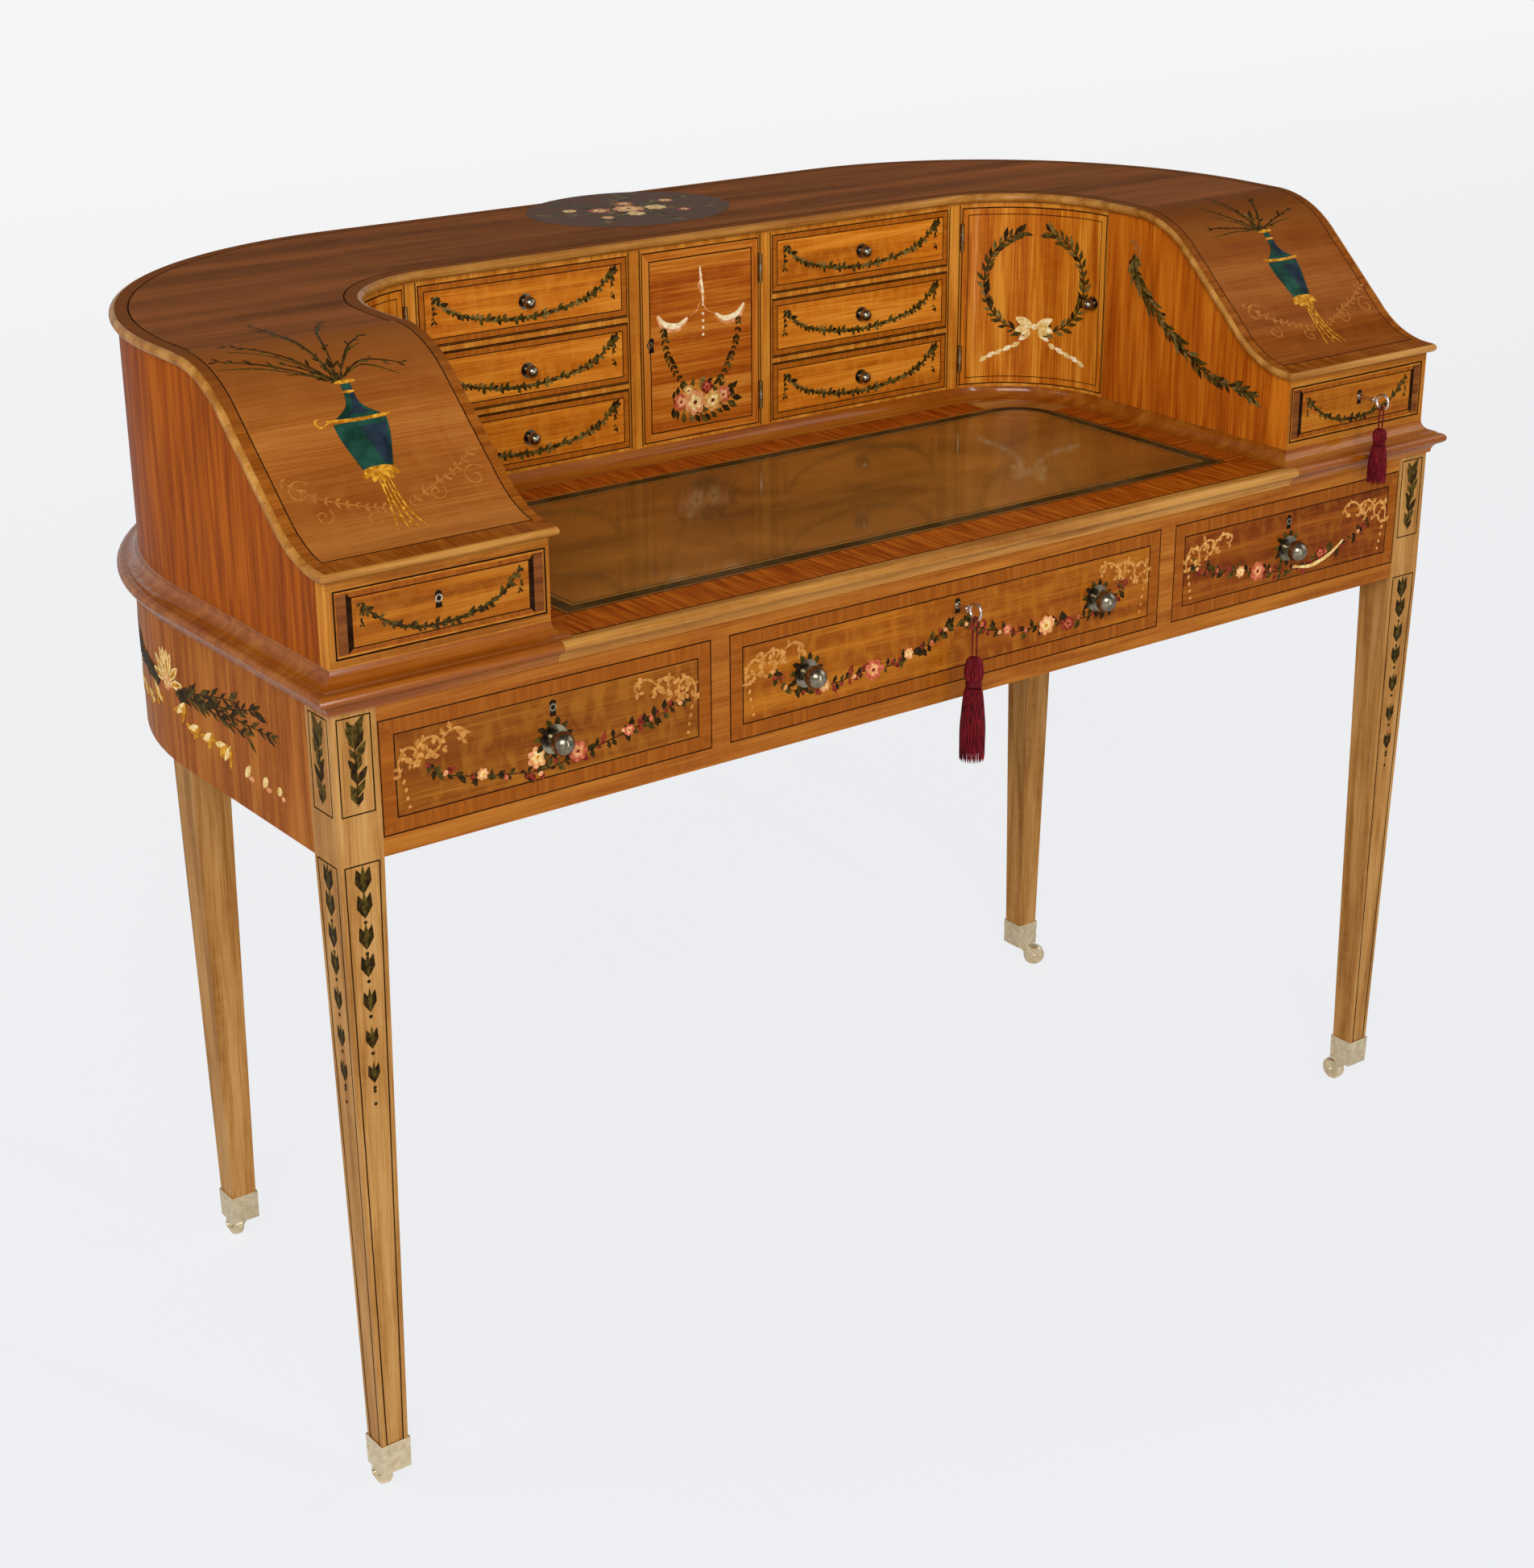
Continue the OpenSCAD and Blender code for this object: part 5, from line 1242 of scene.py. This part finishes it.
@dataclass
class WingFronts:
    """The drawer in the front of each wing."""

    low: float = 793.8
    high: float = 844.2
    end: float = 9.0  # width of the dark tile at each end
    levels: Box = (784.6, 790.6, 847.4, 855.4)  # low rail, opening, high rail
    gap: float = 2.6  # from the front to the string round it

    def make(self) -> None:
        """Veneers and paints both fronts."""
        for side, name in SIDES.items():
            x0, x1 = sorted((side * 441.8, side * 631.2))
            low, high = self.low, self.high
            front = Layer(Upright(WING_Y))
            ebony = EBONY.x
            for a, b in ((x0, x0 + self.end), (x1 - self.end, x1)):
                front.tile(DARK_END.x, (a, low, b, high))
            middle = (x0 + self.end, low, x1 - self.end, high)
            box = front.band(FRIEZE_CROSS.z, ebony, middle, width=4.0)
            front.tile(WING_SATIN.x, front.band(ebony, ebony, box, width=1.0))
            front.lay(f"wing_{name}_veneer", f"wing_drawer_{name}_body", "drawer_wood")
            brush = Brush(Upright(WING_Y), seed=6)
            swag = [(x0 + 22, high - 13), (x0 + 50, low + 17), (x0 + 82, low + 9),
                    (x0 + 116, low + 11), (x0 + 146, low + 20), (x1 - 22, high - 11)]
            brush.stroke(LEAF_DARK, swag, width=2.8, taper=0.5)
            brush.garland((LEAF, LEAF_DARK, LEAF), swag, leaf=6.8, gap=4.6, thin=0.6, spread=0.7,
                          wild=0.4)
            for x in (x0 + 22, x1 - 22):
                drop = [(x, high - d) for d in (10, 20, 28)]
                brush.garland((LEAF, LEAF_DARK), drop, leaf=5.0, gap=4.6, thin=0.5, spread=0.6,
                              wild=0.4)
            brush.keyhole((side * 540.0, 824.2))
            brush.lay(f"wing_{name}_painting", f"wing_drawer_{name}_body", "drawer_wood")
            frame_lines = Layer(Upright(WING_Y))
            rail, stile = WING_RAIL.x, WING_RAIL.z
            left, right = sorted((side * 436.4, side * 639.6))
            z0, z1, z2, z3 = self.levels
            a, b = x0 - self.gap, x1 + self.gap
            for wood, box in ((rail, (left, z2, right, z3)), (rail, (left, z0, right, z1)),
                              (stile, (left, z1, a, z2)), (stile, (b, z1, right, z2))):
                frame_lines.tile(wood, box)
            frame_lines.band(ebony, ebony, (a, z1, b, z2), width=1.6)
            frame_lines.lay(f"wing_{name}_frame_string", "desk", "pale_wood")


@dataclass
class GalleryTop:
    """The S-curved slopes of the wings and the flat top round the back, veneered and painted."""

    def slope(self, side: int) -> None:
        """Lays one slope's veneers."""
        skin = WingSlope()
        layer = Layer(skin, top=0.4)
        x0, x1 = sorted((side * 431.5, side * 642.0))
        low, mitre, string, top = 1.0, 22.0, 23.4, skin.crest
        wide, inner = 9.0, 10.2  # from the side to the string and to the field
        layer.plate(TOP_BAND.y, (x0, low), (x1, low), (x1 - wide, mitre), (x0 + wide, mitre))
        layer.plate(EBONY.x, (x0 + wide, mitre), (x1 - wide, mitre), (x1 - 9.7, string),
                    (x0 + 9.7, string))
        for x, turn in ((x0, 1), (x1, -1)):
            edge, field_edge = x + turn * wide, x + turn * inner
            layer.plate(TOP_BAND.x, (x, low), (edge, mitre), (edge, top), (x, top))
            layer.plate(EBONY.x, (edge, mitre), (field_edge, string), (field_edge, top),
                        (edge, top))
        layer.tile((SLOPE if side < 0 else SLOPE_RIGHT).x, (x0 + inner, string, x1 - inner, top))
        layer.lay(f"gallery_top_{SIDES[side]}_slope_veneer", "desk", "gallery_top_wood")

    def flat(self) -> None:
        """Lays the veneers of the flat top, a U of mitred bands and a field."""
        layer = Layer(Level(TOP_Z), top=0.35)
        inset, end = 18.0, 244.0  # from the moulding's edge, and y where the slopes begin
        sides = {side: DeskSide(side, inset) for side in SIDES}

        def inner(gap: float) -> Line:
            """The line this far outside the well's edge, from the left slope to the right one."""
            def line(s: float) -> Spot:
                """The place from 0 to 1."""
                spot = WellFace().place((2 * s - 1) * (WELL_TURN + WELL_Y - end), 0.0, 2.0 - gap)
                return spot.x / MM, spot.y / MM + MIDDLE_Y
            return line

        def outer(gap: float) -> Line:
            """The line this far inside the outer edge."""
            def line(s: float) -> Spot:
                """The place from 0 to 1."""
                side = -1 if s < 0.5 else 1
                whole = SIDE_Y - end + (SIDE_R - inset) * math.pi / 2 + SIDE_X
                spot = sides[side].place(end + (1 - abs(2 * s - 1)) * whole, 0.0, -gap)
                return spot.x / MM, spot.y / MM + MIDDLE_Y
            return line

        band, string, steps = 11.0, 12.4, 160
        for line in (inner, outer):
            layer.ruled(TOP_BAND.y, line(0.0), line(band), steps=steps)
            layer.ruled(EBONY.x, line(band), line(string), steps=steps)
        # The field, in the darker colours of painted shade
        layer.ruled(TOP_FIELD_PAINTED_SHADE.x, inner(string), outer(string), steps=steps, rows=6)
        layer.lay("gallery_top_flat_veneer", "desk", "gallery_top_wood")

    def urn(self, brush: Brush, x: float, width: float, lean: float,
            colours: Sequence[Paint]) -> None:
        """A tall vase with a narrow neck, gilt rims, a leafy foot and long drips.

        Args:
            brush: where it is painted.
            x: its axis at the shoulder.
            width: width of its shoulder, mm.
            lean: how far the axis moves from the shoulder to the foot, mm.
            colours: body, its darker side and the trim.
        """
        body, dark, trim = colours
        half = width / 2

        def axis(v: float) -> float:
            """The axis at a height."""
            return x + lean * (156 - v) / 45

        for finish, side, shape in (
                (body, 0.0, ((109, 0.55), (118, 0.66), (130, 0.8), (142, 0.92), (155, 0.97))),
                (dark, half * 0.42, ((112, 0.12), (130, 0.3), (150, 0.48))),
                (body, 0.0, ((158, 0.92), (163, 0.62), (169, 0.34), (177, 0.2), (192, 0.18))),
                (dark, 2.4, ((162, 0.4), (170, 0.14), (188, 0.08)))):
            brush.vase(finish, lambda v, side=side: axis(v) + side,
                       [(v, half * wide) for v, wide in shape])
        rim = axis(157)
        brush.stroke(trim, [(rim - half * 1.16, 159), (rim, 156.5), (rim + half * 1.14, 158)],
                     width=3.2, taper=0.3)
        brush.dab(trim, (axis(184), 184), (12.0, 3.0), turn=0.0, point=0.1, sides=12)
        brush.dab(trim, (axis(194), 194), (20.0, 4.0), turn=0.0, point=0.1, sides=12)
        foot = axis(108)
        for turn in (-0.9, -0.45, 0.0, 0.45, 0.9):
            place = foot + 13 * math.sin(turn), 110 - 7 * math.cos(turn)
            brush.dab(trim, place, (17.0, 8.5), turn=-math.pi / 2 + turn, point=0.8)
        for start, end in ((-4, -13), (-1, -3), (2, 6), (5, 14)):
            drip = [(foot + start, 100), (foot + start * 1.2, 80), (foot + end * 0.6, 62),
                    (foot + end, 44)]
            brush.stroke(trim, drip, width=1.5)
        beads = ((-3, 92), (3, 84), (-2, 76), (4, 68), (-4, 60), (2, 52))
        brush.dots(trim, [(foot + u, v) for u, v in beads], size=3.0)

    def stems(self, brush: Brush, root: Spot, tips: Sequence[tuple[Spot, Spot]]) -> None:
        """Dark grassy stems with a few leaves, each from the root by a bend to its tip."""
        dark, olive, pale = LEAF_DARK, LEAF, LEAF_PALE
        for tip, bend in tips:
            line = [root, bend, tip]
            brush.stroke(dark, line, width=1.5, taper=0.7)
            beside = [root, (bend[0] - 2, bend[1] - 5), (tip[0] - 6, tip[1] - 12)]
            brush.stroke(olive, beside, width=1.4, taper=0.8)
            brush.garland((dark, olive), line, leaf=9.0, gap=19.0, thin=0.28, spread=0.5, wild=0.4)
        brush.garland((pale, olive, dark), [root, (root[0], root[1] + 18)], leaf=16.0, gap=8.0,
                      thin=0.26, spread=0.4, wild=0.3)

    def ground(self, brush: Brush, x: float) -> None:
        """Faint scrolls each side of the vase's foot."""
        scrolls = ((-76, 99, 12, 1), (-66, 74, 9, -1), (-24, 61, 9, 1), (38, 77, 9, -1),
                   (78, 85, 12, 1))
        for u, v, size, hand in scrolls:
            brush.scroll(FAINT, (x + u, v), size, start=0.6, hand=hand, width=1.5)
        for line in (((-88, 112), (-62, 90), (-34, 78), (-10, 70)),
                     ((10, 70), (38, 84), (62, 94), (86, 110))):
            spots = [(x + u, v) for u, v in line]
            brush.stroke(FAINT, spots, width=1.4)
            brush.garland((FAINT,), spots, leaf=7.0, gap=8.0, thin=0.4, spread=0.9)

    def left_painting(self) -> None:
        """The left slope: a green vase with tall stems."""
        brush = Brush(WingSlope(), top=0.65, base=0.36, seed=21)
        self.ground(brush, -538.0)
        self.stems(brush, (-537, 194), (((-622, 241), (-588, 226)), ((-600, 268), (-572, 240)),
                                        ((-570, 222), (-556, 212)),
                                        ((-498, 301), (-520, 262)), ((-489, 249), (-510, 232)),
                                        ((-474, 205), (-506, 214)),
                                        ((-550, 323), (-545, 262))))
        self.urn(brush, x=-535.0, width=50.0, lean=-4.0, colours=(TEAL, NIGHT, GILT))
        brush.stroke(GILT, [(-562, 158), (-571, 154), (-574, 160), (-569, 163)], width=2.0)
        brush.lay("left_slope_painting", "desk", "gallery_top_wood")

    def right_painting(self) -> None:
        """The right slope: a green vase with foliage."""
        brush = Brush(WingSlope(), top=0.65, base=0.36, seed=22)
        self.ground(brush, 542.0)
        self.stems(brush, (542, 196), (((529, 266), (534, 230)), ((574, 250), (560, 226)),
                                       ((500, 238), (520, 216)),
                                       ((600, 218), (572, 208)), ((480, 208), (510, 204))))
        self.urn(brush, x=544.0, width=42.0, lean=-3.0, colours=(TEAL, NIGHT, GILT))
        brush.lay("right_slope_painting", "desk", "gallery_top_wood")

    def oval(self) -> None:
        """The dark oval with a spray of leaves and roses on the middle of the flat top."""
        brush = Brush(Level(TOP_Z), top=0.6, base=0.33, seed=23)
        cx, cy = 7.0, 551.0
        brush.dab(SHADOW, (cx, cy), (220, 180), turn=0.0, point=0.0, sides=64)
        leaves = LEAF, LEAF_PALE, LEAF, LEAF_DARK
        for k in range(7):
            turn = math.tau * k / 7 + 0.3
            bend = turn + 0.2
            line = [(cx, cy), (cx + 36 * math.cos(bend), cy + 30 * math.sin(bend)),
                    (cx + 86 * math.cos(turn), cy + 66 * math.sin(turn))]
            brush.stroke(LEAF_PALE, line, width=1.6, taper=0.4)
            brush.garland(leaves, line, leaf=18.0, gap=11.0, thin=0.4, spread=0.7)
        for x, y, size, colour in ((0, 0, 34, BLUSH), (-30, 8, 24, PINK), (28, -8, 24, CREAM),
                                   (-8, -26, 20, CREAM), (12, 26, 20, PINK), (-56, 24, 15, CREAM),
                                   (58, 18, 15, BLUSH), (-44, -28, 14, BLUSH), (46, -34, 14, PINK)):
            brush.rose((cx + x, cy + y), size, colour, CREAM, MADDER)
        brush.lay("top_oval_painting", "desk", "gallery_top_wood")

    def make(self) -> None:
        """Makes the top's veneers and paintings."""
        for side in SIDES:
            self.slope(side)
        self.flat()
        self.left_painting()
        self.right_painting()
        self.oval()


@dataclass
class InnerWalls:
    """The wings' walls beside the writing well, veneered and painted with a falling garland."""

    arc: float = 109.0  # radius of both arcs of the top board's underside
    straight: Box = (91.6, 170.9, 884.14, 0.9043)  # y of its ends, z of the first, and slope
    start: float = 508.6  # the wall's back end, measured along the well's face
    long: float = 267.6
    foot_z: float = 784.2

    def under(self, y: float) -> float:
        """Height of the top board's underside above this depth."""
        slope = WingSlope()
        (low_y, low_z, _), (high_y, high_z, _) = slope.low, slope.high
        first, last, z, rise = self.straight
        if y < low_y:
            return low_z - self.arc
        if y < first:
            return low_z - math.sqrt(self.arc**2 - (y - low_y) ** 2)
        if y < last:
            return z + (y - first) * rise
        return high_z + math.sqrt(self.arc**2 - max(high_y - y, 0.0) ** 2)

    def make(self) -> None:
        """Makes both walls."""
        for side, name in SIDES.items():
            wall = Layer(WellFace(), top=0.3)

            def foot(s: float, side: int = side) -> Spot:
                """The foot of the wall."""
                return side * (self.start + self.long * s), self.foot_z

            def head(s: float, side: int = side) -> Spot:
                """The top of the wall, just under the board."""
                run = self.start + self.long * s
                return side * run, self.under(WELL_Y - (run - WELL_TURN)) - 0.5

            wall.ruled(WELL_WALL.z, foot, head, steps=70, rows=4)
            wall.lay(f"{name}_well_wall_veneer", "desk", "satinwood")
            brush = Brush(WellFace(), top=0.5, base=0.28, seed=31)
            fall = ((550, 945), (552, 926), (576, 899), (605, 874), (633, 855), (666, 839),
                    (704, 833), (725, 829))
            run = [(side * u, z) for u, z in fall]
            brush.stroke(LEAF_DARK, run, width=2.0)
            brush.garland((LEAF_PALE, LEAF, LEAF_PALE), run, leaf=19.0, gap=8.0, thin=0.3,
                          spread=0.45, wild=0.3)
            brush.garland((LEAF, LEAF_DARK), run, leaf=12.0, gap=11.0, thin=0.34, spread=0.6,
                          wild=0.4)
            brush.garland((LEAF_PALE, LEAF), run[:4], leaf=21.0, gap=9.0, thin=0.28, spread=0.4,
                          wild=0.3)
            for k in range(3):
                brush.dab(FAINT, (side * (546 + 5 * k), 957 - 4 * k), (12.0, 5.0),
                          turn=0.6 + 0.7 * k, point=0.4)
            brush.lay(f"{name}_well_wall_painting", "desk", "satinwood")


@dataclass
class ApronPainting:
    """Painted festoons on the curved apron under the two sides of the table."""

    knot: Spot = (313.0, 690.0)  # the bow that they hang from

    def make(self) -> None:
        """Paints both sides."""
        for side in SIDES:
            brush = Brush(DeskSide(side, FRIEZE_Y), top=0.3, base=0.1, seed=41)
            for hand in (-1, 1):
                def spot(d: float, z: float, hand: int = hand) -> Spot:
                    """A place beside the knot."""
                    return self.knot[0] + hand * d, z

                sprays = (((70, 700), (128, 712)), ((90, 694), (194, 700)), ((60, 690), (150, 688)),
                          ((110, 700), (170, 716)))
                for bend, tip in sprays:
                    line = [spot(18, 686), spot(*bend), spot(*tip)]
                    brush.stroke(LEAF_DARK, line, width=1.3)
                    brush.garland((LEAF_DARK, LEAF_DARK, LEAF), line, leaf=19.0, gap=12.0,
                                  thin=0.24, spread=0.4, wild=0.3)
                for reach, z, turn in ((26, 672, 0.9), (50, 661, 0.5), (76, 661, 0.7),
                                       (100, 661, 0.4), (112, 657, 1.1)):
                    for k, finish in enumerate((GILT, CREAM, GILT)):
                        place = spot(reach + 5 * k - 5, z + 3 * (k % 2))
                        brush.dab(finish, place, (23.0, 7.0), turn=hand * (turn + 0.5 * k - 0.7),
                                  point=0.6)
                for reach, size in ((148, 17.0), (179, 15.0), (204, 10.0)):
                    brush.dab(CREAM, spot(reach, 655), (size, 8.0), turn=hand * 0.9, point=0.3)
                    brush.dab(BLUSH, spot(reach + 6, 650), (size * 0.7, 5.0), turn=hand * 0.2,
                              point=0.3)
                for turn in (0.2, 0.7, 1.2, 1.7):
                    place = spot(20 * math.cos(turn), self.knot[1] + 20 * math.sin(turn))
                    lean = turn if hand > 0 else math.pi - turn
                    brush.dab(CREAM, place, (26.0, 9.0), turn=lean, point=0.6)
                    brush.dab(GILT, place, (20.0, 4.0), turn=lean, point=0.6)
            brush.rose((313, 692), 18.0, BLUSH, CREAM, GILT)
            brush.lay(f"apron_{SIDES[side]}_painting", "desk", "satinwood")


@dataclass
class WritingTop:
    """The border of the sliding writing board and the tooled line on its leather."""

    def make(self) -> None:
        """Makes both."""
        board = Layer(Level(BOARD_Z))
        # x and y of the corner of each line: the board's edge, its band and the string
        edge, band, string = (435.0, 14.0), (395.6, 60.6), (394.4, 61.8)
        board.tile(EBONY.x, (-edge[0], edge[1] - 1.4, edge[0], edge[1]))
        for finish, out, near in ((TULIP.y, edge, band), (EBONY.x, band, string)):
            board.plate(finish, (-out[0], out[1]), out, near, (-near[0], near[1]))
        for side in SIDES:
            for finish, out, near, back in ((TULIP.x, edge, band, 320.0),
                                            (EBONY.x, band, string, 318.0)):
                board.plate(finish, (side * out[0], out[1]), (side * near[0], near[1]),
                            (side * near[0], back), (side * out[0], back))
        board.tile(TULIP.y, (-340.0, 367.0, 340.0, 402.0))
        board.lay("writing_board_banding", "slide", "top_wood")
        tooling = Layer(Level(LEATHER_Z), top=0.06, base=-0.01)

        half, front = 394, 62  # half the leather's width, and where its front edge is
        straight, radius = 254, 50  # its side's straight run, and its two back corners

        def rim(inset: float) -> Line:
            """The leather's edge moved inwards, from one front corner round to the other."""
            def line(s: float) -> Spot:
                """The place from 0 to 1."""
                side, run = (-1 if s < 0.5 else 1), (1 - abs(2 * s - 1)) * 676.5
                turn = min(max((run - straight) / radius, 0.0), math.pi / 2)
                reach = radius - inset
                return (side * (half - radius + reach * math.cos(turn) - max(run - 332.5, 0.0)),
                        front + inset + min(run, straight) * (straight - inset) / straight
                        + reach * math.sin(turn))
            return line

        for finish, outer, inner in ((RIM_STAIN, 3.0, 15.0), (DIM_GILT, 17.0, 17.8),
                                     (RIM_STAIN, 19.0, 20.2)):
            tooling.ruled(finish, rim(outer), rim(inner), steps=160)
            tooling.plate(finish, (-half + outer, front + outer), (half - outer, front + outer),
                          (half - inner, front + inner), (-half + inner, front + inner))
        tooling.lay("leather_tooled_line", "slide", "leather")


@dataclass
class FrontLegs:
    """Strings and bell-flower drops on the faces of the front legs."""

    def face(self, side: int, facing: Spot, name: str) -> None:
        """Inlays one face."""
        skin = LegFace(side, facing)
        ebony = EBONY.z
        lines = Layer(skin, top=0.14)
        lines.band(ebony, ebony, (-15.5, 661.0, 15.5, 745.0), width=1.1)

        def edge(side: int, inset: float) -> Line:
            """A line this far inside one tapering edge, from the foot up."""
            def line(s: float) -> Spot:
                """The place from 0 to 1."""
                z = 60.0 + 558.0 * s
                return side * (skin.half(z) - inset), z
            return line

        for hand in (-1, 1):
            lines.ruled(ebony, edge(hand, 4.2), edge(hand, 5.3), steps=12)
        lines.tile(ebony, (-8.6, 59.0, 8.6, 60.2))
        lines.tile(ebony, (-15.2, 617.0, 15.2, 618.2))
        lines.lay(f"{name}_strings", "desk", "leg_wood")
        brush = Brush(skin, top=0.3, base=0.1, seed=51)
        laurel = LEAF_DARK, LEAF, LEAF
        brush.garland(laurel, [(0, 669), (0.2, 703), (0, 729)], leaf=16.0, gap=8.4, thin=0.4,
                      spread=0.46, wild=0.1)
        brush.stroke(LEAF_DARK, [(0, 738), (0, 703), (0, 668)], width=1.3)
        for k, z in enumerate((616, 593, 564, 538, 505, 470, 437)):
            brush.husk(LEAF_DARK, LEAF, (0.0, z - 24 + k), (26.0 - k, 15.0 - 0.7 * k),
                       turn=math.pi / 2)
            brush.dots(LEAF_DARK, [(0.0, z - 27.5 + 0.8 * k)], size=3.4)
        brush.dots(LEAF_DARK, [(0, 422), (0, 411), (0, 399)], size=3.2)
        brush.lay(f"{name}_painting", "desk", "leg_wood")

    def make(self) -> None:
        """Inlays the front and the outer face of both front legs."""
        for side, name in SIDES.items():
            self.face(side, (0.0, -1.0), f"leg_{name}_front_face")
            self.face(side, (float(side), 0.0), f"leg_{name}_outer_face")


@dataclass(frozen=True)
class Studio:
    """The camera at the photograph's place, the pale floor and soft lights."""

    lens: float = 63.42
    shift: Spot = (-0.0487, -0.0055)
    place: tuple[float, float, float] = (-1.58464, -2.12783, 1.51790)
    axes: tuple[tuple[float, float, float], ...] = (  # its right, up and back directions
        (0.78468155, -0.6198649, 0.00650969), (0.22764052, 0.2979039, 0.92705613),
        (-0.57658881, -0.72596197, 0.37486606))

    def camera(self) -> None:
        """Sets the camera."""
        data = bpy.data.cameras.new("camera")
        data.lens = self.lens
        data.sensor_width = 36.0
        data.shift_x, data.shift_y = self.shift
        obj = bpy.data.objects.new("camera", data)
        turn = Matrix(self.axes).transposed().to_4x4()
        obj.matrix_world = Matrix.Translation(self.place) @ turn
        bpy.context.scene.collection.objects.link(obj)
        bpy.context.scene.camera = obj

    def floor(self) -> None:
        """A wide matt floor, near white to the camera, with only a faint shadow of the desk."""
        bm = bmesh.new()
        bmesh.ops.create_circle(bm, cap_ends=True, segments=96, radius=26.0)
        mix = Recipe.start("matt_floor_paint")
        tree, shader = mix.tree, mix.shader
        out = next(n for n in tree.nodes if n.type == "OUTPUT_MATERIAL")
        for key, value in (("Base Color", linear("#dedee0")), ("Roughness", 0.9),
                           ("Specular IOR Level", 0.1)):
            shader.inputs[key].default_value = value
        far = add_node(tree, "ShaderNodeSeparateXYZ", {0: mix.place})
        tone = add_node(tree, "ShaderNodeMapRange", {0: far.outputs[1], 1: -0.5, 2: 6.0})
        glow = add_node(tree, "ShaderNodeMix",
                        {0: tone.outputs[0], 6: linear("#f0f2f5"),
                         7: linear("#ffffff")}, data_type="RGBA")
        shine = add_node(tree, "ShaderNodeEmission", {0: glow.outputs[2], 1: 1.0})
        rays = add_node(tree, "ShaderNodeLightPath")
        share = add_node(tree, "ShaderNodeMath", {0: rays.outputs["Is Camera Ray"], 1: 0.88},
                         operation="MULTIPLY")
        blend = add_node(tree, "ShaderNodeMixShader",
                         {0: share.outputs[0], 1: shader.outputs[0], 2: shine.outputs[0]})
        tree.links.new(blend.outputs[0], out.inputs[0])
        mesh_object("studio_floor", bm, [mix.material])

    def lamp(self, name: str, place: Sequence[float], aim: Sequence[float], size: Spot,
             power: float) -> None:
        """One rectangular soft light."""
        data = bpy.data.lights.new(name, "AREA")
        data.shape = "RECTANGLE"
        data.size, data.size_y = size
        data.energy = power
        obj = bpy.data.objects.new(name, data)
        obj.visible_camera = False
        obj.location = place
        obj.rotation_euler = (Vector(place) - Vector(aim)).to_track_quat("Z", "Y").to_euler()
        bpy.context.scene.collection.objects.link(obj)

    def light(self) -> None:
        """World and lamps."""
        scene = bpy.context.scene
        scene.view_settings.view_transform = "Standard"
        world = bpy.data.worlds.new("studio")
        scene.world = world
        world.use_nodes = True
        tree = world.node_tree
        back = next(n for n in tree.nodes if n.type == "BACKGROUND")
        rays = add_node(tree, "ShaderNodeLightPath")
        seen = add_node(tree, "ShaderNodeMath",
                        {0: rays.outputs["Is Camera Ray"],
                         1: rays.outputs["Is Transmission Ray"]}, operation="MAXIMUM")
        shown = add_node(tree, "ShaderNodeMath",
                         {0: seen.outputs[0],
                          1: rays.outputs["Is Glossy Ray"]}, operation="MAXIMUM")
        coords = add_node(tree, "ShaderNodeTexCoord")
        split = add_node(tree, "ShaderNodeSeparateXYZ", {0: coords.outputs["Generated"]})
        tones = [(0.0, "#d0d0d2"), (0.25, "#c8c8ca"),
                 (0.6, "#707074")]  # from level up to the zenith
        wall = add_node(tree, "ShaderNodeValToRGB", {0: split.outputs[2]}, tones)
        colour = add_node(tree, "ShaderNodeMix",
                          {0: shown.outputs[0], 6: linear("#a4a4a6"),
                           7: wall.outputs[0]}, data_type="RGBA")
        tree.links.new(colour.outputs[2], back.inputs[0])
        back.inputs[1].default_value = 1.0
        self.lamp("key_light", (-3.0, -3.9, 3.2), aim=(0, 0, 0.8), size=(3.0, 2.2), power=215)
        self.lamp("side_light", (-3.4, 0.6, 1.8), aim=(0, 0, 0.6), size=(1.6, 2.2), power=26)
        self.lamp("fill_light", (2.8, -1.6, 2.6), aim=(0, 0, 0.6), size=(2.0, 2.0), power=20)
        self.lamp("strip_light", (0.35, -2.5, 1.0), aim=(0.35, 0, 1.0), size=(0.12, 1.9), power=12)


def write_sizes() -> None:
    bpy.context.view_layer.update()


def main() -> None:
    """Builds the studio, then dresses each part of the desk."""
    studio = Studio()
    studio.camera()
    Tassels().make()
    NodeFinishes().dress()
    for part in (FriezeDrawers(), GalleryFronts(), CupboardDoors(), WingFronts(), GalleryTop(),
                 InnerWalls(), ApronPainting(), WritingTop(), FrontLegs()):
        part.make()
    studio.floor()
    studio.light()
    write_sizes()


if __name__ == "__main__":
    logging.basicConfig(level=logging.INFO, format="%(message)s")
    main()
